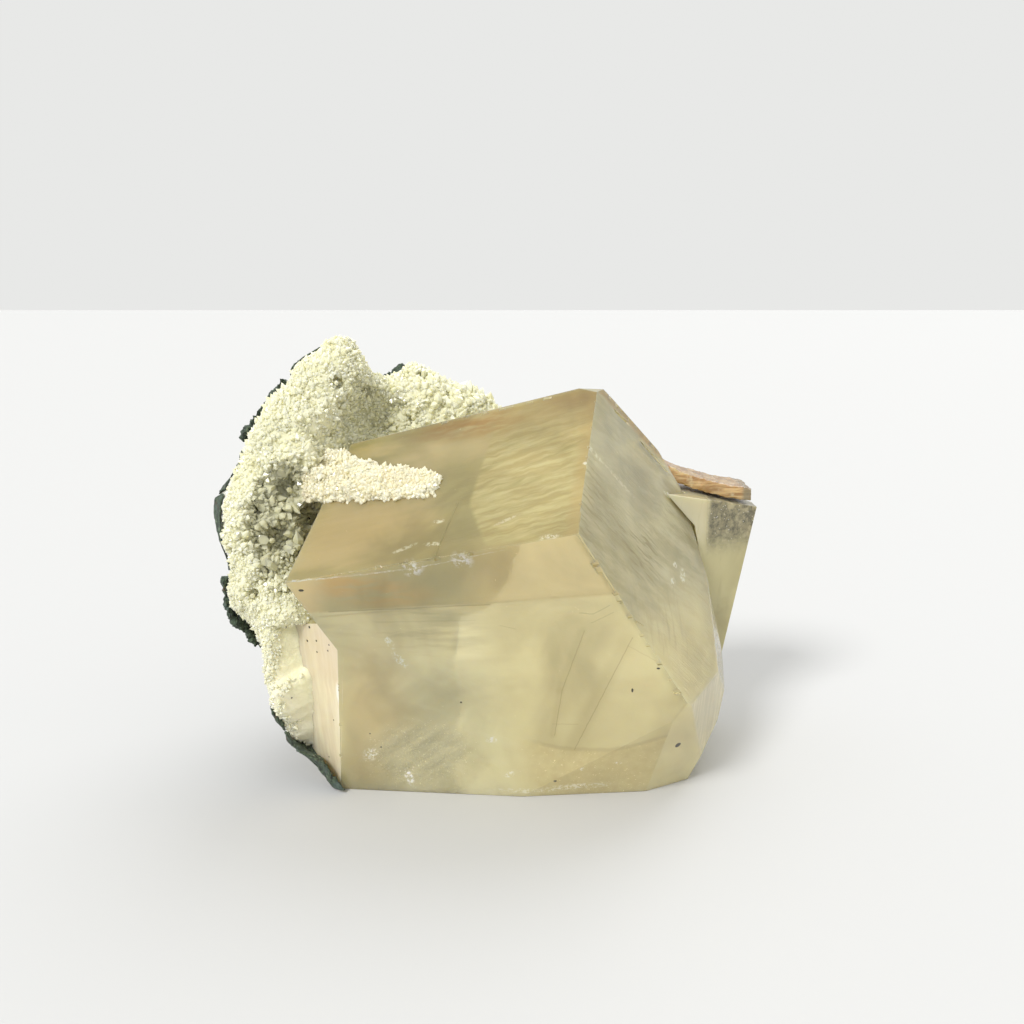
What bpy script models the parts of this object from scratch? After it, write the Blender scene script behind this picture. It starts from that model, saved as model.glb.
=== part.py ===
"""Calcite on drusy chalcedony: a hand specimen broken from the wall of a geode.

A honey calcite rhomb stands beside a second calcite block, under a thin iron-stained ledge.
Both grew in a curved wall of chalcedony, lined with quartz druse and backed by plates of green
celadonite rind. Units are metres, written as millimetres times MM. +Z is up and -Y is the front.
"""
import math

import bmesh
import bpy
from mathutils import Matrix, Vector, noise
from mathutils.bvhtree import BVHTree

MM = 0.001

# Driving dimensions, in millimetres
SEAM = 0.3               # clearance between pieces that grew against each other
BLANK = 120.0            # side of the block that each crystal is cleaved from
RHOMB_CENTRE = (3.5, -8.0, 22.0)
SIDE_CENTRE = (33.0, 3.0, 20.0)
LEDGE_THICKNESS = 1.8
WALL_VOXEL = 1.5         # grain at which the wall's lobes fuse
WALL_TRIANGLES = 2200
LUMP_HEIGHT = 0.9        # height of the wall's botryoidal lumps
LUMP_SIZE = 4.5          # spacing of those lumps
LUMP_SEED = 1
RIND_THICKNESS = 1.3
SOCKET_DEPTH = 0.45      # share of a quartz crystal's length that is rooted in the wall
QUARTZ_TIP = 1.3         # height of a quartz crystal's point over its radius
CRUST_VOXEL = 0.7
CRUST_TRIANGLES = 700
CRUST_GRAIN_HEIGHT = 0.5
CRUST_GRAIN_SIZE = 2.0
CRUST_SEED = 5
NOISE_OCTAVES = 3
NOISE_STEP = (7.1, 3.7, 5.3)         # how far the noise moves from one seed to the next
LEDGE_SEGMENTS = 6       # lengthwise steps of the ledge's curve
ROUND_LEVELS = 4         # icosphere subdivisions of a lobe

# Faces are (compass of the outward normal from the front, its elevation, distance from the centre)
RHOMB_FACES = {
    "upper": (-22, 51, 19.8),
    "front": (-5, -10, 13.9),
    "right": (57, 25, 20.4),
    "crest_back": (-175, 32, 16.4),
    "shoulder": (125, 47, 29.0),
    "right_edge_high": (95, 14, 27.1),
    "right_turn_high": (76, 12, 25.5),
    "right_turn_mid": (84, -3, 30.5),
    "right_side": (90, -13, 30.7),
    "right_turn_low": (60, -5, 26.6),
    "left_back": (-108, 1, 22.0),
    "foot_bevel": (5, -24, 18.5),
    "foot_corner": (28, -25, 23.9),
    "foot_right": (70, -23, 30.8),
    "apex": (20, 80, 29.2),
    "back": (175, 10, 12.3),
    "base": (0, -90, 22.0),
}

# Step under the rhomb's upper left corner, cut away between two planes
STEP_FACES = {
    "ceiling": (110, 33, -21.1),
    "wall": (120, 1, -24.0),
}

SIDE_FACES = {
    "top": (88, 77, 14.8),
    "right": (90, -10, 2.9),
    "front": (25, -5, 2.0),
    "back": (172, 8, 8.5),
    "back_corner": (120, 12, 8.5),
    "lower": (158, -51, 15.0),
    "inner": (-123, -25, 9.0),
    "base": (0, -90, 20.0),
}

# Ledge: its top falls away from the rhomb in a shallow hollow curve
LEDGE_LEFT = 25.4
LEDGE_RIGHT = 37.4
LEDGE_FRONT = 1.2
LEDGE_BACK = 9.6
LEDGE_TOP_LEFT = 39.9
LEDGE_TOP_RIGHT = 36.7
LEDGE_SAG = 0.5

# Lobes of the chalcedony wall: (centre, radii)
WALL_LOBES = {
    "foot": ((-18.6, -17.0, 3.0), (2.4, 3.0, 4.6)),
    "ankle": ((-21.0, -15.5, 8.0), (3.2, 4.4, 5.5)),
    "shin": ((-23.6, -13.5, 13.0), (4.2, 5.5, 7.0)),
    "flank_low": ((-25.2, -11.0, 20.0), (4.2, 6.5, 8.0)),
    "flank": ((-27.2, -9.0, 27.0), (6.0, 7.5, 7.0)),
    "flank_bulge": ((-29.0, -6.0, 34.0), (6.6, 8.5, 6.8)),
    "flank_high": ((-26.4, -3.0, 41.0), (5.8, 8.0, 8.0)),
    "neck": ((-23.0, 0.0, 48.0), (4.8, 6.5, 7.5)),
    "peak": ((-20.3, 1.0, 53.0), (3.9, 4.5, 4.6)),
    "saddle": ((-17.5, 5.0, 45.0), (7.0, 6.5, 7.6)),
    "crest": ((-10.5, 8.0, 45.0), (7.0, 5.5, 7.8)),
    "crest_right": ((-4.5, 8.5, 43.0), (6.0, 5.0, 7.4)),
    "crest_end": ((0.5, 8.5, 40.5), (4.6, 4.5, 6.0)),
    "back_left": ((-21.0, 3.0, 33.0), (8.0, 8.0, 9.0)),
    "back_mid": ((-12.0, 8.0, 32.0), (9.0, 6.0, 9.0)),
    "back_right": ((-3.0, 9.0, 30.0), (7.5, 5.0, 8.5)),
    "heel_left": ((-21.5, -1.0, 20.0), (7.5, 8.5, 9.0)),
    "heel_mid": ((-13.0, 7.5, 19.0), (9.0, 6.5, 9.0)),
    "heel_foot": ((-12.0, 6.5, 8.0), (8.0, 6.5, 9.5)),
}

# Hollows that open to the front in the wall: (centre, radii)
WALL_POCKETS = {
    "lower_pocket": ((-25.5, -16.0, 32.5), (4.6, 8.5, 7.0)),
    "upper_pocket": ((-14.0, -3.5, 47.0), (6.0, 7.5, 6.0)),
    "crest_pocket": ((-8.0, 1.5, 50.5), (2.6, 3.5, 2.2)),
}

# Rind: plates broken apart by cracks, on the side of the wall away from the geode's middle
GEODE_CENTRE = (1.0, -23.0, 40.0)
GEODE_RADII = (38.0, 38.0, 47.0)     # the rind lies outside this hollow
CRACK_WIDTH = 0.9
RIND_PLATES = {
    "rind_foot": (-21.5, -15.0, 3.0),
    "rind_shin": (-27.5, -11.0, 12.0),
    "rind_wedge": (-32.0, -7.0, 21.0),
    "rind_bulge": (-36.0, -4.0, 31.0),
    "rind_flake": (-34.5, 0.0, 38.0),
    "rind_shoulder": (-30.0, 2.5, 46.5),
    "rind_peak": (-23.0, 5.5, 54.0),
    "rind_heel": (-29.0, 6.0, 20.0),
    "rind_back_low": (-17.0, 13.0, 9.0),
    "rind_back_left": (-25.0, 10.5, 32.0),
    "rind_back_high": (-19.0, 12.5, 44.0),
    "rind_back_mid": (-13.0, 14.5, 24.0),
    "rind_back_crest": (-9.0, 13.5, 37.0),
    "rind_back_end": (1.0, 13.5, 43.0),
    "rind_back_right": (0.5, 14.0, 29.0),
}

# The crust patch that spreads over the rhomb's upper face: (centre, radii)
CRUST_LOBES = {
    "crust_body": ((-13.5, -11.2, 40.2), (5.6, 3.2, 2.6)),
    "crust_left": ((-18.0, -11.0, 39.0), (3.4, 3.4, 2.6)),
    "crust_tail": ((-9.0, -13.2, 39.8), (3.2, 2.2, 1.6)),
}

# Larger quartz crystals: (point near the wall, lean of the axis, radius, length)
QUARTZ_CRYSTALS = [
    ((-2.0, 5.0, 51.0), (0.3, -0.3, 1.0), 0.85, 3.6),
    ((1.2, 6.0, 48.5), (0.5, -0.2, 1.0), 0.75, 3.2),
    ((3.5, 6.5, 46.5), (0.6, -0.2, 1.0), 0.80, 3.2),
    ((5.0, 9.5, 42.0), (1.0, -0.2, 0.5), 0.70, 3.0),
    ((-5.2, 5.0, 52.0), (-0.2, -0.2, 1.0), 0.80, 3.4),
    ((-8.5, 6.0, 53.5), (0.1, -0.1, 1.0), 0.90, 3.4),
    ((-12.0, 6.0, 53.5), (-0.1, -0.4, 1.0), 0.80, 3.2),
    ((-15.0, 4.5, 53.0), (0.0, -0.5, 1.0), 0.75, 3.0),
    ((-19.5, -3.5, 52.0), (0.5, -1.0, 0.3), 0.85, 3.2),
    ((-18.0, -4.5, 48.5), (0.6, -1.0, 0.1), 0.80, 3.0),
    ((-19.0, -5.5, 45.0), (0.5, -1.0, 0.2), 0.90, 3.2),
    ((-11.5, 0.5, 47.5), (0.0, -1.0, 0.3), 0.85, 3.2),
    ((-15.5, 0.5, 49.5), (0.2, -1.0, 0.4), 0.80, 3.0),
    ((-22.5, -8.0, 40.5), (0.2, -1.0, 0.4), 0.85, 3.0),
    ((-26.0, -9.5, 38.5), (0.0, -1.0, 0.5), 0.90, 3.2),
    ((-30.0, -12.5, 36.0), (-0.3, -1.0, 0.3), 0.80, 3.0),
    ((-32.0, -13.5, 31.5), (-0.3, -1.0, 0.0), 0.85, 3.0),
    ((-28.5, -8.5, 33.0), (0.1, -1.0, 0.2), 0.90, 3.2),
    ((-25.0, -8.5, 30.0), (0.2, -1.0, 0.2), 0.80, 3.0),
    ((-27.5, -12.0, 26.0), (0.0, -1.0, 0.4), 0.80, 3.0),
]


def clear_scene():
    """Remove every object that the file opened with."""
    for obj in list(bpy.data.objects):
        bpy.data.objects.remove(obj, do_unlink=True)


def new_collection(name):
    """Make a collection under the scene's own."""
    collection = bpy.data.collections.new(name)
    bpy.context.scene.collection.children.link(collection)
    return collection


def mineral(name, colour, roughness, transmission=0.0):
    """Principled material of one mineral."""
    material = bpy.data.materials.new(name)
    material.use_nodes = True
    shader = material.node_tree.nodes["Principled BSDF"]
    shader.inputs["Base Color"].default_value = (*colour, 1.0)
    shader.inputs["Roughness"].default_value = roughness
    shader.inputs["Metallic"].default_value = 0.0
    shader.inputs["Transmission Weight"].default_value = transmission
    material.diffuse_color = (*colour, 1.0)
    return material


def add_mesh(name, bm, collection, material=None):
    """Turn a bmesh into an object in the given collection."""
    mesh = bpy.data.meshes.new(name)
    bm.to_mesh(mesh)
    bm.free()
    if material:
        mesh.materials.append(material)
    obj = bpy.data.objects.new(name, mesh)
    collection.objects.link(obj)
    return obj


def as_cutter(obj):
    """Show an object as a wire guide that isn't part of the specimen."""
    obj.hide_render = True
    obj.display_type = "WIRE"
    return obj


def bake_modifiers(obj):
    """Replace an object's mesh with its evaluated one."""
    graph = bpy.context.evaluated_depsgraph_get()
    graph.update()
    mesh = bpy.data.meshes.new_from_object(obj.evaluated_get(graph))
    obj.modifiers.clear()
    obj.data = mesh


def combine(obj, other, operation):
    """Apply one exact boolean to an object."""
    modifier = obj.modifiers.new(operation.title(), "BOOLEAN")
    modifier.operation = operation
    modifier.solver = "EXACT"
    modifier.object = other
    bake_modifiers(obj)


def keep_largest_body(obj):
    """Drop crumbs that a cut left loose."""
    bm = bmesh.new()
    bm.from_mesh(obj.data)
    unseen = set(bm.verts)
    bodies = []
    while unseen:
        front = [unseen.pop()]
        body = set(front)
        while front:
            for edge in front.pop().link_edges:
                for vert in edge.verts:
                    if vert in unseen:
                        unseen.discard(vert)
                        body.add(vert)
                        front.append(vert)
        bodies.append(body)
    bodies.sort(key=len)
    crumbs = [vert for body in bodies[:-1] for vert in body]
    bmesh.ops.delete(bm, geom=crumbs, context="VERTS")
    bm.to_mesh(obj.data)
    bm.free()


def face_normal(compass, elevation):
    """Outward unit normal from its compass, measured from the front, and its elevation."""
    turn = math.radians(compass)
    rise = math.radians(elevation)
    return Vector((math.sin(turn) * math.cos(rise), -math.cos(turn) * math.cos(rise), math.sin(rise)))


def slice_off(bm, point, normal):
    """Remove what lies beyond a plane and close the cut."""
    cut = bmesh.ops.bisect_plane(
        bm,
        geom=bm.verts[:] + bm.edges[:] + bm.faces[:],
        plane_co=point,
        plane_no=normal,
        clear_outer=True,
    )
    rim = [item for item in cut["geom_cut"] if isinstance(item, bmesh.types.BMEdge)]
    if rim:
        bmesh.ops.edgenet_fill(bm, edges=rim)


def cleave(name, centre, faces, collection, material=None, grow=0.0):
    """Cut a crystal from a block, one cleavage plane at a time, each moved out by grow."""
    middle = Vector(centre) * MM
    bm = bmesh.new()
    bmesh.ops.create_cube(bm, size=BLANK * MM, matrix=Matrix.Translation(middle))
    for compass, elevation, distance in faces.values():
        normal = face_normal(compass, elevation)
        slice_off(bm, middle + normal * (distance + grow) * MM, normal)
    bmesh.ops.recalc_face_normals(bm, faces=bm.faces[:])
    return add_mesh(name, bm, collection, material)


def build_rhomb(name, collection, cutters, material=None, grow=0.0):
    """The main rhomb, with the step that undercuts its upper left corner."""
    rhomb = cleave(name, RHOMB_CENTRE, RHOMB_FACES, collection, material, grow)
    step = as_cutter(cleave(name + "_step", RHOMB_CENTRE, STEP_FACES, cutters, grow=-grow))
    combine(rhomb, step, "DIFFERENCE")
    return rhomb


def add_ellipsoids(bm, lobes):
    """Add one ellipsoid for each lobe."""
    for centre, radii in lobes:
        size = Matrix.Diagonal(Vector([radius * MM for radius in radii] + [1.0]))
        place = Matrix.Translation(Vector(centre) * MM)
        bmesh.ops.create_icosphere(bm, subdivisions=ROUND_LEVELS, radius=1.0, matrix=place @ size)


def fuse(obj, voxel):
    """Fuse overlapping lobes into one skin."""
    remesh = obj.modifiers.new("Fuse", "REMESH")
    remesh.mode = "VOXEL"
    remesh.voxel_size = voxel * MM
    remesh.adaptivity = 0.0
    bake_modifiers(obj)
    keep_largest_body(obj)


def thin_out(obj, triangles):
    """Collapse the mesh to about the given number of triangles."""
    obj.data.calc_loop_triangles()
    count = len(obj.data.loop_triangles)
    decimate = obj.modifiers.new("Thin", "DECIMATE")
    decimate.ratio = min(1.0, triangles / count)
    decimate.use_collapse_triangulate = True
    bake_modifiers(obj)


def roughen(obj, height, size, seed):
    """Push the skin in and out along its normals by smooth noise."""
    mesh = obj.data
    offset = Vector(NOISE_STEP) * seed
    normals = [vert.normal.copy() for vert in mesh.vertices]
    for vert, normal in zip(mesh.vertices, normals):
        lump = noise.fractal(vert.co / (size * MM) + offset, 1.0, 2.0, NOISE_OCTAVES)
        vert.co += normal * lump * height * MM
    mesh.update()


def swollen(obj, name, distance, cutters):
    """Copy of a solid with its skin moved out by a distance."""
    copy = obj.copy()
    copy.data = obj.data.copy()
    copy.name = name
    cutters.objects.link(copy)
    normals = [vert.normal.copy() for vert in copy.data.vertices]
    for vert, normal in zip(copy.data.vertices, normals):
        vert.co += normal * distance * MM
    copy.data.update()
    return as_cutter(copy)


def build_wall(collection, cutters, material, rhomb_room, side_room):
    """Chalcedony wall: fused lobes and open pockets, cut to fit round the calcite."""
    bm = bmesh.new()
    add_ellipsoids(bm, WALL_LOBES.values())
    wall = add_mesh("chalcedony_wall", bm, collection, material)
    fuse(wall, WALL_VOXEL)
    bm = bmesh.new()
    add_ellipsoids(bm, WALL_POCKETS.values())
    pockets = as_cutter(add_mesh("pocket_cutter", bm, cutters))
    fuse(pockets, WALL_VOXEL)
    combine(wall, pockets, "DIFFERENCE")
    fuse(wall, WALL_VOXEL)
    roughen(wall, LUMP_HEIGHT, LUMP_SIZE, LUMP_SEED)
    thin_out(wall, WALL_TRIANGLES)
    skin = swollen(wall, "wall_skin_guide", 0.0, cutters)
    combine(wall, rhomb_room, "DIFFERENCE")
    combine(wall, side_room, "DIFFERENCE")
    trim_below_ground(wall)
    keep_largest_body(wall)
    return wall, skin


def trim_below_ground(obj):
    """Cut a piece flat where it meets the surface that the specimen stands on."""
    bm = bmesh.new()
    bm.from_mesh(obj.data)
    slice_off(bm, Vector((0.0, 0.0, 0.0)), Vector((0.0, 0.0, -1.0)))
    bmesh.ops.recalc_face_normals(bm, faces=bm.faces[:])
    bm.to_mesh(obj.data)
    bm.free()


def build_ledge(collection, material, rhomb_room):
    """Thin stained plate that bridges from the rhomb's shoulder over the side block."""
    length = LEDGE_RIGHT - LEDGE_LEFT
    depth = LEDGE_BACK - LEDGE_FRONT
    middle = Vector((LEDGE_LEFT + length / 2, LEDGE_FRONT + depth / 2, 0.0))
    bm = bmesh.new()
    bmesh.ops.create_cube(bm, size=1.0)
    long_edges = [edge for edge in bm.edges if abs(edge.verts[0].co.x - edge.verts[1].co.x) > 0.5]
    bmesh.ops.subdivide_edges(bm, edges=long_edges, cuts=LEDGE_SEGMENTS - 1, use_grid_fill=True)
    for vert in bm.verts:
        along = vert.co.x + 0.5
        fall = LEDGE_TOP_LEFT + (LEDGE_TOP_RIGHT - LEDGE_TOP_LEFT) * along
        hollow = LEDGE_SAG * 4.0 * along * (1.0 - along)
        top = vert.co.z > 0.0
        height = fall - hollow if top else fall - hollow - LEDGE_THICKNESS
        vert.co = Vector((middle.x + vert.co.x * length, middle.y + vert.co.y * depth, height)) * MM
    ledge = add_mesh("stained_ledge_plate", bm, collection, material)
    combine(ledge, rhomb_room, "DIFFERENCE")
    keep_largest_body(ledge)
    return ledge


def rind_cell(name, collection):
    """Block around one plate's middle, cut halfway to each of the other plates."""
    seed = Vector(RIND_PLATES[name])
    bm = bmesh.new()
    bmesh.ops.create_cube(bm, size=BLANK * MM, matrix=Matrix.Translation(seed * MM))
    for other_name, other in RIND_PLATES.items():
        if other_name == name:
            continue
        apart = Vector(other) - seed
        halfway = seed + apart.normalized() * (apart.length - CRACK_WIDTH) / 2
        slice_off(bm, halfway * MM, apart.normalized())
    slice_off(bm, Vector((0.0, 0.0, 0.0)), Vector((0.0, 0.0, -1.0)))
    bmesh.ops.recalc_face_normals(bm, faces=bm.faces[:])
    return add_mesh(name + "_cell", bm, collection)


def build_rind(collection, cutters, material, skin):
    """Celadonite rind: a conforming skin on the wall's outer side, cracked into plates."""
    outer = swollen(skin, "rind_outer_guide", SEAM + RIND_THICKNESS, cutters)
    fuse(outer, WALL_VOXEL)
    thin_out(outer, WALL_TRIANGLES)
    inner = swollen(skin, "rind_inner_guide", SEAM, cutters)
    bm = bmesh.new()
    add_ellipsoids(bm, [(GEODE_CENTRE, GEODE_RADII)])
    geode = as_cutter(add_mesh("geode_hollow", bm, cutters))
    combine(outer, geode, "DIFFERENCE")
    combine(outer, inner, "DIFFERENCE")
    plates = []
    for name in RIND_PLATES:
        cell = as_cutter(rind_cell(name, cutters))
        plate = add_mesh(name, bmesh.new(), collection, material)
        plate.data = outer.data.copy()
        plate.data.materials.clear()
        plate.data.materials.append(material)
        combine(plate, cell, "INTERSECT")
        keep_largest_body(plate)
        plates.append(plate)
    return plates


def build_crust(collection, material, rhomb_room, skin, cutters):
    """Lumpy quartz crust that spreads from the wall over the rhomb's upper face."""
    bm = bmesh.new()
    add_ellipsoids(bm, CRUST_LOBES.values())
    crust = add_mesh("druse_crust_patch", bm, collection, material)
    fuse(crust, CRUST_VOXEL)
    roughen(crust, CRUST_GRAIN_HEIGHT, CRUST_GRAIN_SIZE, CRUST_SEED)
    thin_out(crust, CRUST_TRIANGLES)
    combine(crust, rhomb_room, "DIFFERENCE")
    room = swollen(skin, "crust_room_guide", SEAM, cutters)
    combine(crust, room, "DIFFERENCE")
    keep_largest_body(crust)
    return crust


def quartz_prism(bm, root, axis, radius, length, grow=0.0):
    """Six-sided quartz prism with a pointed end, rooted below the point it stands on."""
    tip = radius * QUARTZ_TIP
    shaft = length - tip + grow * 2.0
    turn = axis.to_track_quat("Z", "X").to_matrix().to_4x4()
    start = root - axis * (length * SOCKET_DEPTH + grow) * MM
    place = Matrix.Translation(start) @ turn @ Matrix.Translation((0.0, 0.0, shaft * MM / 2))
    made = bmesh.ops.create_cone(
        bm,
        cap_ends=True,
        segments=6,
        radius1=(radius + grow) * MM,
        radius2=(radius + grow) * MM,
        depth=shaft * MM,
        matrix=place,
    )
    top = max(
        {face for vert in made["verts"] for face in vert.link_faces if len(face.verts) == 6},
        key=lambda face: face.calc_center_median().dot(axis),
    )
    point = bmesh.ops.poke(bm, faces=[top])["verts"][0]
    point.co += axis * (tip + grow) * MM


def build_quartz(collection, cutters, material, wall):
    """Larger quartz crystals, each rooted in a socket in the wall."""
    tree_mesh = bmesh.new()
    tree_mesh.from_mesh(wall.data)
    tree = BVHTree.FromBMesh(tree_mesh)
    tree_mesh.free()
    crystals = []
    for index, (near, lean, radius, length) in enumerate(QUARTZ_CRYSTALS):
        root = tree.find_nearest(Vector(near) * MM)[0]
        axis = Vector(lean).normalized()
        bm = bmesh.new()
        quartz_prism(bm, root, axis, radius, length)
        crystals.append(add_mesh(f"quartz_crystal_{index + 1:02d}", bm, collection, material))
        bm = bmesh.new()
        quartz_prism(bm, root, axis, radius, length, grow=SEAM)
        combine(wall, as_cutter(add_mesh(f"socket_{index + 1:02d}", bm, cutters)), "DIFFERENCE")
    keep_largest_body(wall)
    return crystals


def stand_on_origin(pieces):
    """Bring the middle of the footprint's box to the origin, standing on Z = 0."""
    low = Vector((math.inf, math.inf, math.inf))
    high = -low
    for piece in pieces:
        for vert in piece.data.vertices:
            low = Vector(map(min, low, vert.co))
            high = Vector(map(max, high, vert.co))
    shift = Vector(((low.x + high.x) / 2, (low.y + high.y) / 2, low.z))
    for piece in pieces:
        piece.data.transform(Matrix.Translation(-shift))
    return shift


def main():
    clear_scene()
    specimen = new_collection("calcite_specimen")
    cutters = new_collection("cutters")

    honey = mineral("honey_calcite", (0.62, 0.50, 0.24), 0.12, 0.6)
    stained = mineral("iron_stained_calcite", (0.52, 0.31, 0.12), 0.35)
    chalcedony = mineral("chalcedony", (0.74, 0.68, 0.46), 0.45)
    druse = mineral("quartz_druse", (0.70, 0.62, 0.42), 0.30)
    quartz = mineral("quartz", (0.66, 0.62, 0.44), 0.15)
    celadonite = mineral("celadonite", (0.05, 0.07, 0.05), 0.75)

    rhomb = build_rhomb("main_calcite_crystal", specimen, cutters, honey)
    rhomb_room = as_cutter(build_rhomb("rhomb_room", cutters, cutters, grow=SEAM))
    side = cleave("side_calcite_block", SIDE_CENTRE, SIDE_FACES, specimen, honey)
    combine(side, rhomb_room, "DIFFERENCE")
    keep_largest_body(side)
    side_room = as_cutter(cleave("side_room", SIDE_CENTRE, SIDE_FACES, cutters, grow=SEAM))
    ledge = build_ledge(specimen, stained, rhomb_room)
    wall, skin = build_wall(specimen, cutters, chalcedony, rhomb_room, side_room)
    plates = build_rind(specimen, cutters, celadonite, skin)
    for plate in plates:
        combine(plate, rhomb_room, "DIFFERENCE")
        keep_largest_body(plate)
    crust = build_crust(specimen, druse, rhomb_room, skin, cutters)
    crystals = build_quartz(specimen, cutters, quartz, wall)

    return stand_on_origin([rhomb, side, ledge, wall, crust] + plates + crystals)


main()
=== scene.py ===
import math
import random

import bmesh
import bpy
from mathutils import Matrix, Vector, noise
from mathutils.bvhtree import BVHTree


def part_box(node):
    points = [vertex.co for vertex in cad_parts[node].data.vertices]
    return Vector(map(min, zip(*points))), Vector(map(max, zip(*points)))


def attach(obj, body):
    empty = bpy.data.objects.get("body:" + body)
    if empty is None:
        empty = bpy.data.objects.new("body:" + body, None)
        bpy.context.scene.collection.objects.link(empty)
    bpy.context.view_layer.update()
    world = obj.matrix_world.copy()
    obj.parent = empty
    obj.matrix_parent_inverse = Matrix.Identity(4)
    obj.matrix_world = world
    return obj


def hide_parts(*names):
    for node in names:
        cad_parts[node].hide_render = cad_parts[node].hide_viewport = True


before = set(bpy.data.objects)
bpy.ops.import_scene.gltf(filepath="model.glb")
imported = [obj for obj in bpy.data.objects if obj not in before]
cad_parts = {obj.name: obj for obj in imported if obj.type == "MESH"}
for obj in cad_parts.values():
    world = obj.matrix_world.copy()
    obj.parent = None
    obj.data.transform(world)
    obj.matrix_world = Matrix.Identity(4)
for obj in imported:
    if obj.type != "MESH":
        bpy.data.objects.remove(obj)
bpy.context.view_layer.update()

MM = 0.001
UP = Vector((0.0, 0.0, 1.0))

# ---- driving dimensions, in mm

CAMERA_PLACE = (2.7, -125.1, 62.0)
CAMERA_PITCH = 12.33       # degrees below the horizon
CAMERA_LENS = 33.29        # on a 36 mm sensor
FLOOR_GAP = 0.05           # the floor lies this far under the base
FLOOR_HALF = 12.0          # half of the floor's side, in metres
FLOOR_TINT = (0.545, 0.545, 0.54)
SKY_TINT = (0.985, 0.99, 0.975)
SKY_STRENGTH = 0.82
KEY_LIGHT = (-38, 42, 2.5, 18)    # compass, elevation, strength and breadth
BACK_LIGHT = (150, 50, 1.3, 50)
CLAMP_INDIRECT = 6.0

UPPER_FACE = (-22, 51)     # compass and elevation of the rhomb's faces
FRONT_FACE = (-5, -10)
RIGHT_FACE = (57, 25)
FLANK_FACE = (-42, -5.9)   # the narrow left face

EDGE_ROUND = 0.1          # rounding of the cleavage edges
TURN_ROUND = 2.6           # rounding of the right side's turn
TURN_ZONE = 14.0           # which begins this far inside the crystal's right and top
BLOCK_SIZE = 160.0         # starting cube of every cutting block
BOOLEAN_KEEPS = 0.9        # share of its volume that the crystal keeps in any one cut
FLUSH = 0.02               # growth steps stop this far inside the face that they meet

STRIP_GAP = 0.6            # the wall stays this far behind the crystal's visible faces
PLATE_RISE = 0.5           # the druse's pale plates stand this far out
HOLLOW_DEPTH = 1.7         # and its hollows this far in
WALL_GRAIN = 0.5           # voxel of the wall's fine skin
RIND_GRAIN = 0.3           # and of the rind's plates
CRYSTAL_SHARE = 0.42       # the larger quartz crystals shrink to this share, into the druse
CRUST_ROOT = 0.35          # the crust is rooted this deep in the crystal
CRUST_CORNER = (-37.5, -1.0)  # u, v on the upper face where the crust's grid begins
CRUST_SPAN = (19.0, 16.0)
CRUST_GRID = (110, 90)

DRUSE_PITCH = 0.42         # at most one druse crystal roots in a cell of this size
DRUSE_CLEAR = 0.2          # and none this near to the calcite
CROWDING = 0.62            # share of two radii that must lie between neighbours
TILT = 0.42                # spread of a crystal's lean
GIRTH_SPREAD = 0.22        # and of its six corners
DRUSE_COUNT = 90000        # places tried on the wall
CRUST_COUNT = 16000        # and on the crust
DRUSE_REACH = -1.5         # high up, druse stops this far short of the geode's rim
DRUSE_REACH_LOW = 2.4      # and reaches so much further out low down
DRUSE_BARE = 0.62          # share of a plate's places that stay bare

CLARITY = 0.5             # least share of the light that goes straight through the calcite

HONEY_PALE = (0.655, 0.585, 0.345)
HONEY_GREY = (0.52, 0.475, 0.29)
HONEY_OLIVE = (0.4, 0.35, 0.175)
HONEY_TAN = (0.59, 0.48, 0.26)
HONEY_BRIGHT = (0.74, 0.69, 0.47)
MILK = (0.83, 0.79, 0.64)
# Gains on each face's colour, partly painted light: each face is lightened by its own amount, as light falls
# on it
FRONT_GAIN = (1.34, 1.33, 1.24)
UPPER_GAIN = (1.24, 1.23, 1.06)
RIGHT_GAIN = (1.45, 1.42, 1.18)
FLANK_GAIN = (1.0, 0.99, 0.97)
# White of painted highlights, and of white grains and crumbs
HIGHLIGHT_AND_GRAIN_WHITE = (0.95, 0.93, 0.85)
SPECK = (0.02, 0.018, 0.014)
BLACK_FLECK = (23.74, -14.14, 7.51)  # middle of the largest black grain
EDGE_TURN = (-19.2, -4.9)  # u, v on the front where its white top edge turns
SAME_WAY = (0.88, 0.94)    # a surface takes on a face's look between these cosines


def face_normal(compass, elevation):
    """Outward unit normal from its compass, measured from the front, and its elevation."""
    turn = math.radians(compass)
    rise = math.radians(elevation)
    return Vector((math.sin(turn) * math.cos(rise), -math.cos(turn) * math.cos(rise), math.sin(rise)))


class Face:
    """A crystal face with its own directions: u runs right, v runs up the face, out leaves it."""

    def __init__(self, compass, elevation, corner):
        self.out = face_normal(compass, elevation)
        self.across = UP.cross(self.out).normalized()
        self.along = self.out.cross(self.across)
        self.corner = corner

    def point(self, u, v, out=0.0):
        """Point in metres, from distances in mm."""
        offset = self.across * u + self.along * v + self.out * out
        return self.corner + offset * MM

    def measure(self, place):
        """u, v and out of a point, in mm."""
        offset = (place - self.corner) / MM
        return offset.dot(self.across), offset.dot(self.along), offset.dot(self.out)


def cad_vertices(node):
    """The CAD node's vertices, in metres."""
    return [vert.co.copy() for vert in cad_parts[node].data.vertices]


RHOMB_VERTICES = cad_vertices("main_calcite_crystal")
KEEL = min(RHOMB_VERTICES, key=lambda place: place.y)
UPPER = Face(*UPPER_FACE, KEEL)
FRONT = Face(*FRONT_FACE, KEEL)
RIGHT = Face(*RIGHT_FACE, KEEL)
FLANK = Face(*FLANK_FACE, FRONT.point(-29.1, -15.3))


# ---- mesh helpers

def new_object(name, bm, smooth_angle=None):
    """Turn a bmesh into an object of the scene."""
    mesh = bpy.data.meshes.new(name)
    bm.to_mesh(mesh)
    bm.free()
    obj = bpy.data.objects.new(name, mesh)
    bpy.context.scene.collection.objects.link(obj)
    if smooth_angle is not None:
        smooth(obj, smooth_angle)
    return obj


def smooth(obj, angle):
    """Shade smooth, except over edges sharper than the angle in degrees."""
    obj.data.shade_smooth()
    obj.data.set_sharp_from_angle(angle=math.radians(angle))


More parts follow.
